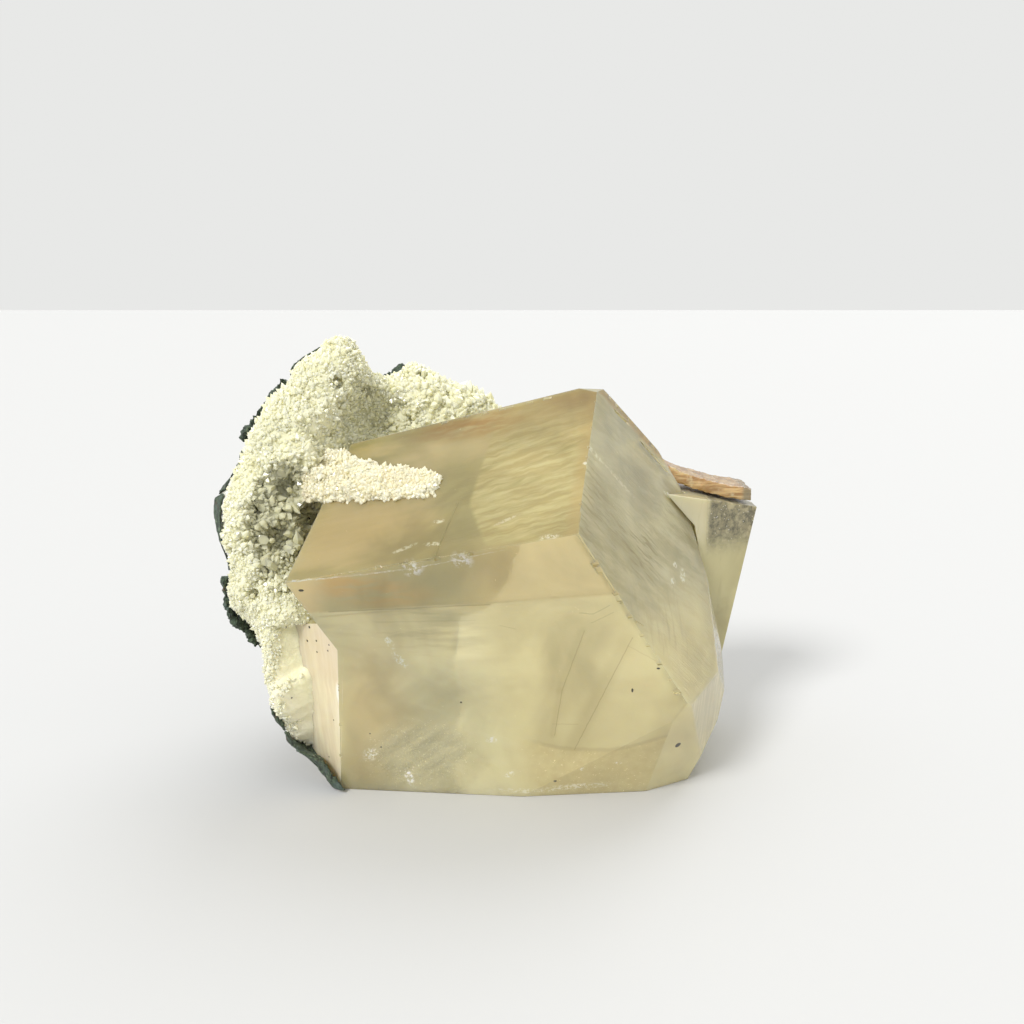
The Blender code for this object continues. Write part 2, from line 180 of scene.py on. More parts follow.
def copy_of(node, name):
    """A new object with the CAD node's mesh."""
    bm = bmesh.new()
    bm.from_mesh(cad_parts[node].data)
    return new_object(name, bm)


def wear(obj, material):
    """Give an object one material."""
    obj.data.materials.clear()
    obj.data.materials.append(material)


def tree_of(obj):
    """Search tree over an object's surface."""
    bm = bmesh.new()
    bm.from_mesh(obj.data)
    tree = BVHTree.FromBMesh(bm)
    bm.free()
    return tree


def apply_modifiers(obj):
    """Replace an object's mesh with its evaluated one."""
    graph = bpy.context.evaluated_depsgraph_get()
    graph.update()
    mesh = bpy.data.meshes.new_from_object(obj.evaluated_get(graph))
    obj.modifiers.clear()
    obj.data = mesh


def volume(mesh):
    """Volume of a closed mesh."""
    bm = bmesh.new()
    bm.from_mesh(mesh)
    amount = bm.calc_volume()
    bm.free()
    return amount


def boolean(obj, other, operation):
    """Apply one exact boolean, then drop the other object. A cut that goes wrong is undone."""
    before = obj.data.copy()
    old = volume(before)
    modifier = obj.modifiers.new("Boolean", "BOOLEAN")
    modifier.operation = operation
    modifier.solver = "EXACT"
    modifier.object = other
    apply_modifiers(obj)
    new = volume(obj.data)
    if not BOOLEAN_KEEPS * old < new < old / BOOLEAN_KEEPS:
        print("undone:", other.name, old, new)
        obj.data = before
    bpy.data.objects.remove(other, do_unlink=True)


def flatten(obj):
    """Join coplanar triangles and tidy doubled vertices."""
    bm = bmesh.new()
    bm.from_mesh(obj.data)
    bmesh.ops.remove_doubles(bm, verts=bm.verts[:], dist=0.00001)
    bmesh.ops.dissolve_limit(bm, angle_limit=math.radians(0.8), verts=bm.verts[:], edges=bm.edges[:])
    bm.to_mesh(obj.data)
    bm.free()


def block(name, middle, planes):
    """A block round the middle, cut by planes given as (normal, point)."""
    bm = bmesh.new()
    bmesh.ops.create_cube(bm, size=BLOCK_SIZE * MM, matrix=Matrix.Translation(middle))
    for normal, point in planes:
        cut = bmesh.ops.bisect_plane(
            bm,
            geom=bm.verts[:] + bm.edges[:] + bm.faces[:],
            plane_co=point,
            plane_no=normal,
            clear_outer=True,
        )
        rim = [item for item in cut["geom_cut"] if isinstance(item, bmesh.types.BMEdge)]
        if rim:
            bmesh.ops.edgenet_fill(bm, edges=rim)
    bmesh.ops.recalc_face_normals(bm, faces=bm.faces[:])
    return new_object(name, bm)


def slab(name, face, left, right, low, high, inner, outer, lean=0.0, inside=()):
    """A flat block on a face: its limits are u, v and out in mm, and lean tilts its long edges.

    It is kept inside the other faces named.
    """
    tilt = math.radians(lean)
    rise = (face.along * math.cos(tilt) - face.across * math.sin(tilt)).normalized()
    middle = face.point((left + right) / 2, (low + high) / 2, (inner + outer) / 2)
    planes = [
        (face.across, face.point(right, 0)),
        (-face.across, face.point(left, 0)),
        (rise, face.point((left + right) / 2, high)),
        (-rise, face.point((left + right) / 2, low)),
        (face.out, face.point(0, 0, outer)),
        (-face.out, face.point(0, 0, inner)),
    ]
    planes += [(other.out, other.point(0, 0, -FLUSH)) for other in inside]
    return block(name, middle, planes)


def bevelled(obj, width, segments, angle):
    """Round the sharp edges of an object."""
    bevel = obj.modifiers.new("Round", "BEVEL")
    bevel.width = width * MM
    bevel.segments = segments
    bevel.limit_method = "ANGLE"
    bevel.angle_limit = math.radians(angle)
    bevel.use_clamp_overlap = True
    apply_modifiers(obj)


def level(obj):
    """Shade the broad faces flat, and only the rounded edges between them smooth."""
    obj.data.shade_smooth()
    weigh = obj.modifiers.new("Level", "WEIGHTED_NORMAL")
    weigh.weight = 100
    apply_modifiers(obj)


def remeshed(obj, grain):
    """Rebuild a closed mesh at an even grain."""
    remesh = obj.modifiers.new("Grain", "REMESH")
    remesh.mode = "VOXEL"
    remesh.voxel_size = grain * MM
    apply_modifiers(obj)


def roughen(obj, layers, only=None):
    """Push the skin along its normals by layers of noise: (height, size, seed, ridged)."""
    mesh = obj.data
    normals = [vert.normal.copy() for vert in mesh.vertices]
    for vert, normal in zip(mesh.vertices, normals):
        amount = only(vert.co) if only else 1.0
        push = 0.0
        for height, size, seed, ridged in layers:
            value = noise.noise(vert.co / (size * MM) + Vector((seed, seed * 2.3, seed * 3.1)))
            if ridged:
                value = 0.5 - abs(value) * 2.0
            push += value * height
        vert.co += normal * push * amount * MM
    mesh.update()


def soft(value, low, high):
    """Smooth step from 0 at low to 1 at high."""
    share = min(1.0, max(0.0, (value - low) / (high - low)))
    return share * share * (3.0 - 2.0 * share)


# ---- material helper

class Value:
    """A number that nodes work out; + - and * add the nodes that carry it on."""

    def __init__(self, paint, socket):
        self.paint = paint
        self.socket = socket

    def __add__(self, other):
        return self.paint.math("ADD", self, other)

    def __sub__(self, other):
        return self.paint.math("SUBTRACT", self, other)

    def __mul__(self, other):
        return self.paint.math("MULTIPLY", self, other)


class Paint:
    """Lays and links the nodes of one Principled material. Lengths are in mm."""

    def __init__(self, name, roughness, ior=1.55):
        self.material = bpy.data.materials.new(name)
        self.material.use_nodes = True
        self.tree = self.material.node_tree
        self.finish(Roughness=roughness, IOR=ior)
        where = self.tree.nodes.new("ShaderNodeTexCoord").outputs["Object"]
        self.place = self.add("VectorMath", "Vector", {0: where, "Scale": 1.0 / MM}, operation="SCALE")
        self.normal = self.tree.nodes.new("ShaderNodeNewGeometry").outputs["Normal"]

    def plug(self, socket, value):
        """Link a node's output to a socket, or set the socket to a plain value."""
        if isinstance(value, Value):
            value = value.socket
        if hasattr(value, "is_output"):
            self.tree.links.new(value, socket)
        elif isinstance(value, (tuple, list, Vector)) and socket.type == "RGBA":
            socket.default_value = (*value[:3], 1.0)
        else:
            socket.default_value = value

    def add(self, kind, output, inputs, **settings):
        """Add a node with these settings and inputs, and give back one of its outputs."""
        node = self.tree.nodes.new("ShaderNode" + kind)
        for name, setting in settings.items():
            setattr(node, name, setting)
        for key, value in inputs.items():
            self.plug(node.inputs[key], value)
        return node.outputs[output]

    def finish(self, **sockets):
        """Fill the shader's sockets and give back the material."""
        shader = self.tree.nodes["Principled BSDF"]
        for name, value in sockets.items():
            self.plug(shader.inputs[name.replace("_", " ")], value)
        return self.material

    def math(self, operation, *values):
        return Value(self, self.add("Math", "Value", dict(enumerate(values)), operation=operation))

    def vector(self, operation, *values):
        number = operation in ("DOT_PRODUCT", "LENGTH")
        output = "Value" if number else "Vector"
        socket = self.add("VectorMath", output, dict(enumerate(values)), operation=operation)
        return Value(self, socket) if number else socket

    def combine(self, x, y, z=0.0):
        return self.add("CombineXYZ", "Vector", {0: x, 1: y, 2: z})

    def noise_at(self, place, scale, detail=2.0, roughness=0.5, distortion=0.0):
        inputs = {"Vector": place, "Scale": scale, "Detail": detail}
        inputs.update(Roughness=roughness, Distortion=distortion)
        return Value(self, self.add("TexNoise", "Fac", inputs))

    def noise(self, *looks):
        return self.noise_at(self.place, *looks)

    def stretched(self, stretch, *looks):
        """Noise over the piece, after its place is multiplied along each axis."""
        return self.noise_at(self.vector("MULTIPLY", self.place, stretch), *looks)

    def cells(self, scale):
        return Value(self, self.add("TexVoronoi", "Distance", {"Vector": self.place, "Scale": scale}))

    def step(self, value, low, high):
        """Smooth step from 0 at low to 1 at high; low may be the larger."""
        flip = low > high
        inputs = {"Value": value, "From Min": min(low, high), "From Max": max(low, high)}
        inputs.update({"To Min": float(flip), "To Max": float(not flip)})
        return Value(self, self.add("MapRange", "Result", inputs, interpolation_type="SMOOTHSTEP"))

    def mix(self, amount, first, second):
        return self.add("Mix", 2, {"Factor": amount, 6: first, 7: second}, data_type="RGBA")

    def fade(self, value, low, high, first, second):
        """From the first colour at low to the second at high."""
        return self.mix(self.step(value, low, high), first, second)

    def bump(self, height, distance, strength):
        inputs = {"Strength": strength, "Distance": distance * MM, "Height": height}
        return self.add("Bump", "Normal", inputs)

    def on(self, face, wobble, wobble_scale=0.4):
        """u, v on a face in mm, waved a little so that drawn lines aren't ruled."""
        offset = self.vector("SUBTRACT", self.place, tuple(face.corner / MM))
        u = self.vector("DOT_PRODUCT", offset, tuple(face.across))
        v = self.vector("DOT_PRODUCT", offset, tuple(face.along))
        v = (self.noise(wobble_scale, 3.0) - 0.5) * (wobble * 2.0) + v
        u = (self.noise(wobble_scale * 1.3, 3.0) - 0.5) * (wobble * 2.0) + u
        return u, v

    def line(self, uv, start, end, width, feather):
        """Mask of a straight line on a face."""
        run_u, run_v = end[0] - start[0], end[1] - start[1]
        square = run_u ** 2 + run_v ** 2
        du = uv[0] - start[0]
        dv = uv[1] - start[1]
        share = dv * (run_v / square) + du * (run_u / square)
        share = self.math("MAXIMUM", self.math("MINIMUM", share, 1.0), 0.0)
        distance = self.vector("LENGTH", self.combine(share * -run_u + du, share * -run_v + dv))
        return self.step(distance, width * (0.5 + feather), width * 0.2)

    def spot(self, uv, middle, radii, feather, turn=0.0):
        """Mask of an ellipse on a face, turned by degrees."""
        du = uv[0] - middle[0]
        dv = uv[1] - middle[1]
        c, s = math.cos(math.radians(turn)), math.sin(math.radians(turn))
        a = dv * (s / radii[0]) + du * (c / radii[0])
        b = dv * (c / radii[1]) + du * (-s / radii[1])
        distance = self.vector("LENGTH", self.combine(a, b))
        return self.step(distance, 1.0 + feather, max(0.0, 1.0 - feather))

    def beyond(self, uv, point, direction, feather):
        """Mask of the side of a line that the direction points to."""
        length = math.hypot(*direction)
        nu, nv = direction[0] / length, direction[1] / length
        edge = point[0] * nu + point[1] * nv
        return self.step(uv[1] * nv + uv[0] * nu, edge - feather, edge + feather)

    def streaks(self, uv, angle, fine, stretch, detail=4.0):
        """Noise drawn out along a direction of a face."""
        u, v = uv
        c, s = math.cos(math.radians(angle)), math.sin(math.radians(angle))
        along = v * (s / stretch) + u * (c / stretch)
        return self.noise_at(self.combine(along, v * c + u * -s), fine, detail, 0.6)

    def facing(self, face):
        """Mask of the surface that faces the same way as a crystal face."""
        return self.step(self.vector("DOT_PRODUCT", self.normal, tuple(face.out)), *SAME_WAY)

    def patches(self, colour, uv, rows):
        """Lay soft ellipses over a colour, broken up by streaks where a row ends with them.

        A row is middle, radii, feather, turn, share, tint, then the streaks' angle, fineness,
        stretch and detail and the two levels between which they show.
        """
        for middle, radii, feather, turn, share, tint, *grain in rows:
            mask = self.spot(uv, middle, radii, feather, turn)
            if grain:
                mask = mask * self.step(self.streaks(uv, *grain[:4]), *grain[4:])
            colour = self.mix(mask * share, colour, tint)
        return colour

    def glints(self, colour, uv, glitter, rows):
        """Lay broken milky-white painted highlights (glints), and some white crumbs, over a colour: middle,
        radii, turn and strength of each.
        """
        for middle, radii, turn, strength in rows:
            mask = self.spot(uv, middle, radii, 0.4, turn) * glitter
            colour = self.mix(mask * strength, colour, HIGHLIGHT_AND_GRAIN_WHITE)
        return colour

    def specks(self, colour, uv, feather, rows):
        """Lay black specks over a colour: middle and radii of each."""
        for middle, radii in rows:
            colour = self.mix(self.spot(uv, middle, radii, feather), colour, SPECK)
        return colour

    def hollows(self, colour, tint):
        """Grey the druse's hollows, with a ragged edge: painted shade in the recesses, partly the grey-green
        of their crystals.
        """
        for middle, radii, share in HOLLOWS:
            offset = self.vector("SUBTRACT", self.place, middle)
            reach = self.vector("LENGTH", self.vector("DIVIDE", offset, radii))
            ragged = self.noise(0.4, 3.0) * 0.5 + reach
            colour = self.mix(self.step(ragged, 1.35, 1.05) * (0.9 * share), colour, tint)
        return colour


# ---- calcite

def calcite_body(paint):
    """Cloudy honey that every part of the calcite shares."""
    cloud = paint.noise(0.07, 2.0, 0.45, 0.6)
    wisp = paint.noise(0.16, 3.0, 0.5, 1.2)
    body = paint.mix(paint.step(cloud, 0.38, 0.62), HONEY_GREY, HONEY_PALE)
    return paint.mix(paint.step(wisp, 0.55, 0.75) * 0.35, body, HONEY_TAN)


def front_colour(paint):
    """The large front face: pale window, olive cloud, stained top band, tan foot band."""
    uv = paint.on(FRONT, 0.35)
    true_uv = paint.on(FRONT, 0.08, 1.2)
    u, v = uv
    cloud = paint.noise(0.075, 2.5, 0.45, 0.8)
    colour = paint.fade(cloud, 0.35, 0.65, (0.57, 0.52, 0.325), (0.66, 0.6, 0.385))
    colour = paint.patches(colour, uv, (
        ((-10.5, -13.5), (8.5, 4.2), 0.7, -12, 0.7, (0.39, 0.365, 0.235), 4, 0.5, 6.0, 2.0, 0.35, 0.6),
        ((-21.0, -19.5), (10.0, 5.0), 0.8, -14, 0.65, HONEY_BRIGHT),
        ((-13.0, -26.0), (5.5, 3.4), 0.8, -24, 0.65, HONEY_BRIGHT),
        ((-17.0, -12.5), (12.0, 4.0), 0.6, 3, 0.4, (0.4, 0.37, 0.225), 2, 0.8, 9.0, 4.0, 0.48, 0.66),
        ((-15.0, -24.0), (13.0, 9.0), 0.6, -24, 0.35, (0.8, 0.75, 0.54), -24, 0.45, 5.0, 5.0, 0.5, 0.7),
    ))
    veil = paint.line(uv, (-19.0, -20.0), (-6.5, -26.5), 2.2, 1.0)
    colour = paint.mix(veil * 0.22, colour, (0.41, 0.385, 0.235))
    colour = paint.patches(colour, uv, (
        ((-8.8, -30.0), (4.5, 5.0), 0.8, 20, 0.25, (0.47, 0.46, 0.26)),
        ((-25.6, -25.0), (4.2, 8.0), 0.8, 0, 0.6, (0.64, 0.51, 0.27)),
        ((-27.5, -34.0), (4.0, 3.0), 0.8, 0, 0.5, HONEY_TAN),
    ))
    window = paint.beyond(uv, (-11.5, -15.0), (1.0, 0.25), 3.2)
    window = window * paint.beyond(uv, (0.0, -7.4), (0.105, -1.0), 0.5)
    milk = paint.step(paint.noise(0.09, 2.0, 0.5, 0.5), 0.35, 0.7)
    pale = paint.mix(milk, (0.5, 0.44, 0.25), (0.63, 0.565, 0.335))
    colour = paint.mix(window * 0.9, colour, pale)

    # The band under the top edge: orange stain, olive, then tan
    band = paint.beyond(true_uv, (-10.2, -9.1), (-0.095, 1.0), 0.25)
    strip = paint.fade(u, -16.0, -9.0, (0.4, 0.355, 0.195), (0.52, 0.425, 0.225))
    strip = paint.patches(strip, uv, (
        ((-25.5, -7.6), (7.0, 2.0), 0.7, -8, 1.0, (0.48, 0.32, 0.13), 6, 0.9, 5.0, 4.0, 0.3, 0.62),
    ))
    corner = paint.step(u, -29.0, -33.0)
    strip = paint.mix(corner, strip, (0.6, 0.47, 0.27))
    colour = paint.mix(band * 0.85, colour, strip)

    # The foot band, browner and full of grains
    bow = (u - 1.5) * (u - 1.5)
    depth = bow * 0.022 - 29.6 - v
    foot = paint.step(depth, -0.3, 0.5) * paint.step(u, -9.5, -2.0) * paint.step(u, 15.5, 9.0)
    grain = paint.noise(0.9, 4.0, 0.55)
    foot_colour = paint.fade(grain, 0.3, 0.72, (0.43, 0.35, 0.175), (0.52, 0.44, 0.24))
    colour = paint.mix(foot * 0.65, colour, foot_colour)
    rim = paint.step(paint.math("ABSOLUTE", depth), 0.5, 0.1) * paint.step(u, -6.0, -2.5)
    colour = paint.mix(rim * 0.35, colour, (0.33, 0.27, 0.14))

    # Bubbly, striated zone low on the left
    bubbles = paint.cells(1.3)
    zone = paint.spot(uv, (-20.0, -31.2), (6.4, 4.6), 0.45, 14)
    hatch = paint.streaks(uv, 40, 0.9, 5.0, 3.0)
    zone_colour = paint.fade(hatch, 0.3, 0.7, (0.23, 0.218, 0.145), (0.38, 0.355, 0.235))
    zone_colour = paint.mix(paint.step(bubbles, 0.16, 0.06) * 0.6, zone_colour, MILK)
    colour = paint.mix(zone * 0.75, colour, zone_colour)

    # Cleavage cracks seen inside, each a dark line with a painted shadow band to its left and a paler side to
    # its right
    for start, end, width, band in (
        ((1.0, -12.6), (-1.6, -21.0), 0.13, 0.6),
        ((-1.6, -21.0), (-2.5, -27.6), 0.11, 0.5),
        ((6.7, -13.3), (0.0, -29.6), 0.14, 1.1),
    ):
        aside = [(place[0] - band * 0.5, place[1]) for place in (start, end)]
        # painted shadow band beside the crack
        crack_shadow = paint.line(true_uv, *aside, band, 0.9)
        colour = paint.mix(crack_shadow * 0.3, colour, (0.4, 0.35, 0.18))
        crack = paint.line(true_uv, start, end, width, 0.15)
        colour = paint.mix(crack * 0.48, colour, (0.27, 0.225, 0.115))
    for start, end, width, strength in (
        ((-2.8, -25.9), (0.4, -25.8), 0.1, 0.3), ((0.4, -10.2), (2.0, -10.3), 0.1, 0.55),
        ((2.0, -10.3), (3.9, -9.1), 0.1, 0.55), ((1.8, -11.5), (4.4, -10.0), 0.09, 0.45),
        ((-9.0, -12.2), (-7.2, -12.6), 0.08, 0.4), ((6.2, -14.4), (9.6, -16.4), 0.09, 0.25),
        ((-29.7, -10.9), (-10.2, -9.4), 0.16, 0.45), ((-24.0, -12.2), (-12.0, -11.6), 0.14, 0.15),
    ):
        mark = paint.line(true_uv, start, end, width, 0.3)
        colour = paint.mix(mark * strength, colour, (0.28, 0.24, 0.13))

    # Milky-white painted highlights (glints), white crumbs along the foot, and black specks
    glitter = paint.step(paint.noise(2.6, 3.0, 0.7), 0.46, 0.6)
    colour = paint.glints(colour, true_uv, glitter, (
        ((-10.5, -28.6), (0.7, 0.4), 10, 0.9), ((-8.2, -33.8), (0.6, 0.35), 30, 0.9),
        ((-21.5, -17.4), (1.3, 0.5), -50, 0.8), ((-22.6, -15.0), (0.9, 0.4), -60, 0.7),
        ((-21.3, -34.9), (0.5, 1.2), 15, 0.95), ((-26.2, -31.6), (1.0, 0.8), 40, 0.8),
        ((0.6, -35.9), (4.0, 0.5), 0, 0.5), ((-6.0, -36.3), (4.0, 0.35), 0, 0.4),
        ((5.6, -31.8), (0.4, 0.3), 0, 0.8), ((1.0, -32.6), (0.3, 0.3), 0, 0.8),
    ))
    colour = paint.specks(colour, true_uv, 0.25, (
        ((12.9, -28.5), (0.42, 0.24)), ((14.5, -27.2), (0.22, 0.55)), ((14.2, -28.2), (0.16, 0.16)),
        ((-2.4, -34.6), (0.2, 0.16)), ((-14.1, -23.2), (0.13, 0.13)), ((9.9, -17.4), (0.2, 0.12)),
        ((6.9, -20.6), (0.12, 0.28)), ((-32.9, -8.2), (0.34, 0.16)), ((-24.7, -30.4), (0.12, 0.12)),
        ((-26.0, -28.4), (0.1, 0.1)),
    ))
    return colour, zone, foot


def upper_colour(paint):
    """The upper face: pale feathery window, olive and brown clouds, iron along the ridge."""
    uv = paint.on(UPPER, 0.5)
    true_uv = paint.on(UPPER, 0.08, 1.2)
    drift = paint.streaks(uv, 24, 0.3, 4.0, 2.5)
    colour = paint.fade(drift, 0.34, 0.66, (0.355, 0.305, 0.15), (0.5, 0.415, 0.225))
    colour = paint.patches(colour, uv, (
        ((-28.0, -2.0), (9.0, 5.5), 0.8, 14, 0.65, (0.53, 0.395, 0.2)),
        ((-20.0, 11.0), (5.5, 3.6), 0.8, 20, 0.75, (0.6, 0.5, 0.29)),
        ((-15.8, 3.8), (3.0, 8.5), 0.7, 22, 0.7, (0.31, 0.275, 0.135)),
        ((-18.0, -5.4), (6.5, 2.2), 0.8, 6, 0.55, (0.27, 0.235, 0.105)),
    ))
    window = paint.beyond(true_uv, (-14.6, 5.0), (1.0, 0.06), 0.35)
    window = window * paint.beyond(true_uv, (-12.2, -0.3), (0.82, 0.57), 0.35)
    window = window * paint.beyond(uv, (-10.0, -2.6), (-0.12, 1.0), 1.2)
    feather = paint.streaks(uv, 27, 1.3, 8.0, 6.0)
    feather_low = paint.streaks(uv, 38, 0.6, 6.0, 3.0)
    glass = paint.fade(feather, 0.36, 0.66, (0.43, 0.35, 0.165), (0.58, 0.525, 0.29))
    streaked = paint.step(feather_low, 0.52, 0.7) * paint.step(uv[1], 1.0, 8.0)
    glass = paint.mix(streaked, glass, (0.395, 0.335, 0.155))
    glass = paint.mix(paint.step(uv[1], 12.0, 19.0) * 0.6, glass, (0.48, 0.375, 0.185))
    colour = paint.mix(window * 0.9, colour, glass)

    # Iron along the ridge and down the edge that the right face shares
    colour = paint.patches(colour, uv, (
        ((-19.0, 16.0), (6.6, 2.3), 0.7, 14, 1.0, (0.4, 0.255, 0.095), 20, 0.8, 5.0, 4.0, 0.3, 0.6),
        ((-6.0, 22.2), (5.0, 2.6), 0.8, 10, 0.7, (0.33, 0.23, 0.105)),
    ))
    edge = paint.line(uv, (-3.4, 23.0), (-0.2, 0.4), 1.3, 1.0)
    colour = paint.mix(edge * 0.6, colour, (0.5, 0.37, 0.18))

    # Painted highlights (glints), broken up by noise
    glitter = paint.step(paint.noise(2.4, 3.0, 0.7), 0.42, 0.6)
    colour = paint.glints(colour, true_uv, glitter, (
        ((-3.0, -1.0), (1.1, 0.55), 12, 0.9), ((-17.4, -0.2), (0.7, 0.3), 20, 0.7),
        ((-16.9, -3.6), (1.0, 0.3), 10, 0.7), ((-1.6, 10.6), (0.5, 0.3), 0, 0.8),
        ((-20.2, -4.6), (1.5, 0.25), 35, 0.5), ((-9.0, 1.0), (1.5, 0.22), 38, 0.4),
    ))
    return colour


def right_colour(paint):
    """The right face: cool grey, partly painted shade and sky reflection, hatched with dark striae, paler and
    warmer low down.
    """
    uv = paint.on(RIGHT, 0.4)
    true_uv = paint.on(RIGHT, 0.08, 1.2)
    drift = paint.streaks(uv, -38, 0.5, 4.0, 5.0)
    # Cool grey base, partly painted shade and a painted sky reflection
    colour = paint.fade(drift, 0.38, 0.62, (0.405, 0.375, 0.25), (0.53, 0.505, 0.385))
    colour = paint.patches(colour, uv, (((16.0, 8.0), (7.0, 10.0), 0.8, -30, 0.6, (0.5, 0.49, 0.4)),))
    colour = paint.mix(paint.step(uv[1], -8.0, -18.0) * 0.8, colour, (0.625, 0.56, 0.345))
    hatch = (-52, 1.6, 9.0, 4.0)
    colour = paint.patches(colour, uv, (
        ((8.5, -4.0), (5.5, 7.0), 0.8, -30, 0.45, (0.365, 0.325, 0.185)),
        ((12.5, -4.5), (5.0, 4.0), 0.6, -20, 0.85, (0.26, 0.22, 0.12), *hatch, 0.5, 0.62),
        ((4.5, 3.0), (4.0, 7.0), 0.7, -30, 0.6, (0.275, 0.235, 0.13), *hatch, 0.48, 0.64),
        ((11.0, -13.0), (8.0, 6.0), 0.8, 0, 0.4, (0.38, 0.34, 0.215), 62, 1.5, 9.0, 5.0, 0.5, 0.66),
    ))
    rim = paint.line(uv, (18.0, 16.5), (30.0, 3.2), 0.9, 0.9)
    colour = paint.mix(rim * 0.75, colour, (0.36, 0.22, 0.09))
    inner = paint.line(uv, (26.5, 2.0), (27.6, -10.0), 1.2, 1.0)
    colour = paint.mix(inner * 0.4, colour, (0.26, 0.215, 0.11))
    # Painted highlights (glints), broken up by noise
    glitter = paint.step(paint.noise(2.4, 3.0, 0.7), 0.42, 0.6)
    colour = paint.glints(colour, true_uv, glitter, (
        ((25.4, 0.3), (0.9, 0.4), -40, 0.9), ((20.9, -10.3), (1.0, 0.6), 40, 0.8),
        ((17.6, -10.4), (0.8, 0.5), 30, 0.7), ((19.9, -8.6), (0.5, 0.4), 0, 0.7),
        ((10.0, 9.0), (3.0, 0.35), -52, 0.4), ((14.0, 4.0), (3.0, 0.3), -52, 0.35),
    ))
    return colour


def flank_colour(paint):
    """The narrow left face: smooth peach, with upright growth lines and fine black dots."""
    uv = paint.on(FLANK, 0.3)
    true_uv = paint.on(FLANK, 0.05, 1.2)
    lines = paint.streaks(uv, 90, 1.3, 12.0, 5.0)
    colour = paint.fade(lines, 0.36, 0.66, (0.76, 0.655, 0.455), (0.84, 0.755, 0.54))
    pink = paint.step(uv[1], -8.0, -4.5)
    colour = paint.mix(pink * 0.5, colour, (0.67, 0.55, 0.4))
    dots = (
        ((-6.4, -1.3), 0.16), ((-4.4, -0.8), 0.14), ((-1.8, -0.7), 0.12), ((-5.5, 0.8), 0.18),
        ((-4.6, -2.4), 0.13), ((-2.2, -1.6), 0.12), ((-3.0, -11.5), 0.1), ((-5.2, -17.6), 0.1),
    )
    colour = paint.specks(colour, true_uv, 0.3, [(middle, (radius, radius)) for middle, radius in dots])
    gleam = paint.spot(true_uv, (-1.1, -7.4), (0.5, 1.5), 0.5)
    return paint.mix(gleam * 0.9, colour, HIGHLIGHT_AND_GRAIN_WHITE)


def calcite_material():
    """Translucent honey calcite with each face's own markings."""
    paint = Paint("honey_calcite_look", 0.12, 1.55)
    body = calcite_body(paint)
    turn = paint.vector("DOT_PRODUCT", paint.normal, (1.0, 0.0, 0.0))
    upright = paint.stretched((1.0, 1.0, 0.08), 1.1, 4.0, 0.6)
    side = paint.fade(upright, 0.36, 0.66, (0.48, 0.425, 0.23), (0.69, 0.63, 0.385))
    body = paint.mix(paint.step(turn, 0.75, 0.95), body, side)
    front, zone, foot = front_colour(paint)
    is_front, is_upper, is_right, is_flank = (paint.facing(face) for face in (FRONT, UPPER, RIGHT, FLANK))
    # Each face's look times its gain; the gains partly paint how light falls on each face
    colour = paint.vector("MULTIPLY", body, FRONT_GAIN)
    for mask, look, gain in (
        (is_front, front, FRONT_GAIN),
        (is_upper, upper_colour(paint), UPPER_GAIN),
        (is_right, right_colour(paint), RIGHT_GAIN),
        (is_flank, flank_colour(paint), FLANK_GAIN),
    ):
        colour = paint.mix(mask, colour, paint.vector("MULTIPLY", look, gain))

    fleck = paint.vector("LENGTH", paint.vector("SUBTRACT", paint.place, BLACK_FLECK))
    colour = paint.mix(paint.step(fleck, 0.46, 0.36), colour, SPECK)

    # Broken white line along the edge between the front and the upper face
    uv = paint.on(FRONT, 0.18, 0.9)
    crumbs = paint.step(paint.noise(1.3, 4.0, 0.7), 0.44, 0.58)
    turn_u, turn_v = EDGE_TURN
    left = paint.line(uv, (-35.0, -7.2), EDGE_TURN, 0.16, 0.3)
    right = paint.line(uv, EDGE_TURN, (-0.5, -0.2), 0.12, 0.3)
    white = paint.math("MAXIMUM", left, right) * (crumbs * 0.6 + 0.25) * paint.step(uv[0], -6.0, -15.0)
    colour = paint.mix(white * 0.8, colour, HIGHLIGHT_AND_GRAIN_WHITE)
    for u in (turn_u, -13.3):
        burst = paint.spot(uv, (u, turn_v + (u - turn_u) * 0.2), (1.1, 0.8), 0.6) * crumbs
        colour = paint.mix(burst, colour, (1.0, 0.99, 0.95))

    cloudy = (foot * 0.4 + zone) * is_front
    haze = paint.noise(0.08, 3.0, 0.5, 0.8)
    clear = paint.step(haze, 0.66, 0.34) * 0.15 + CLARITY
    clear = clear * (cloudy * -0.6 + 1.0)
    clear = clear * (is_flank * -0.8 + 1.0)
    scuffs = paint.noise(3.0, 6.0, 0.7)
    rough = paint.step(scuffs, 0.45, 0.75) * 0.18 + 0.1
    rough = cloudy * 0.12 + rough
    lines_front = paint.streaks(paint.on(FRONT, 0.4), 5, 1.6, 10.0, 5.0)
    lines_upper = paint.streaks(paint.on(UPPER, 0.4), 27, 1.7, 7.0, 6.0)
    lines_right = paint.streaks(paint.on(RIGHT, 0.4), -52, 2.0, 8.0, 5.0)
    relief = lines_front * (is_front * 0.25)
    relief = lines_upper * is_upper * 0.9 + relief
    relief = lines_right * is_right * 1.7 + relief
    relief = paint.noise(0.35, 4.0) * 1.2 + relief
    return paint.finish(
        Subsurface_Weight=0.55,
        Subsurface_Radius=(1.0, 0.85, 0.5),
        Subsurface_Scale=0.006,
        Coat_Weight=0.25,
        Coat_Roughness=0.05,
        Base_Color=colour,
        Roughness=rough,
        Transmission_Weight=clear,
        Normal=paint.bump(relief, 0.18, 0.35),
    )


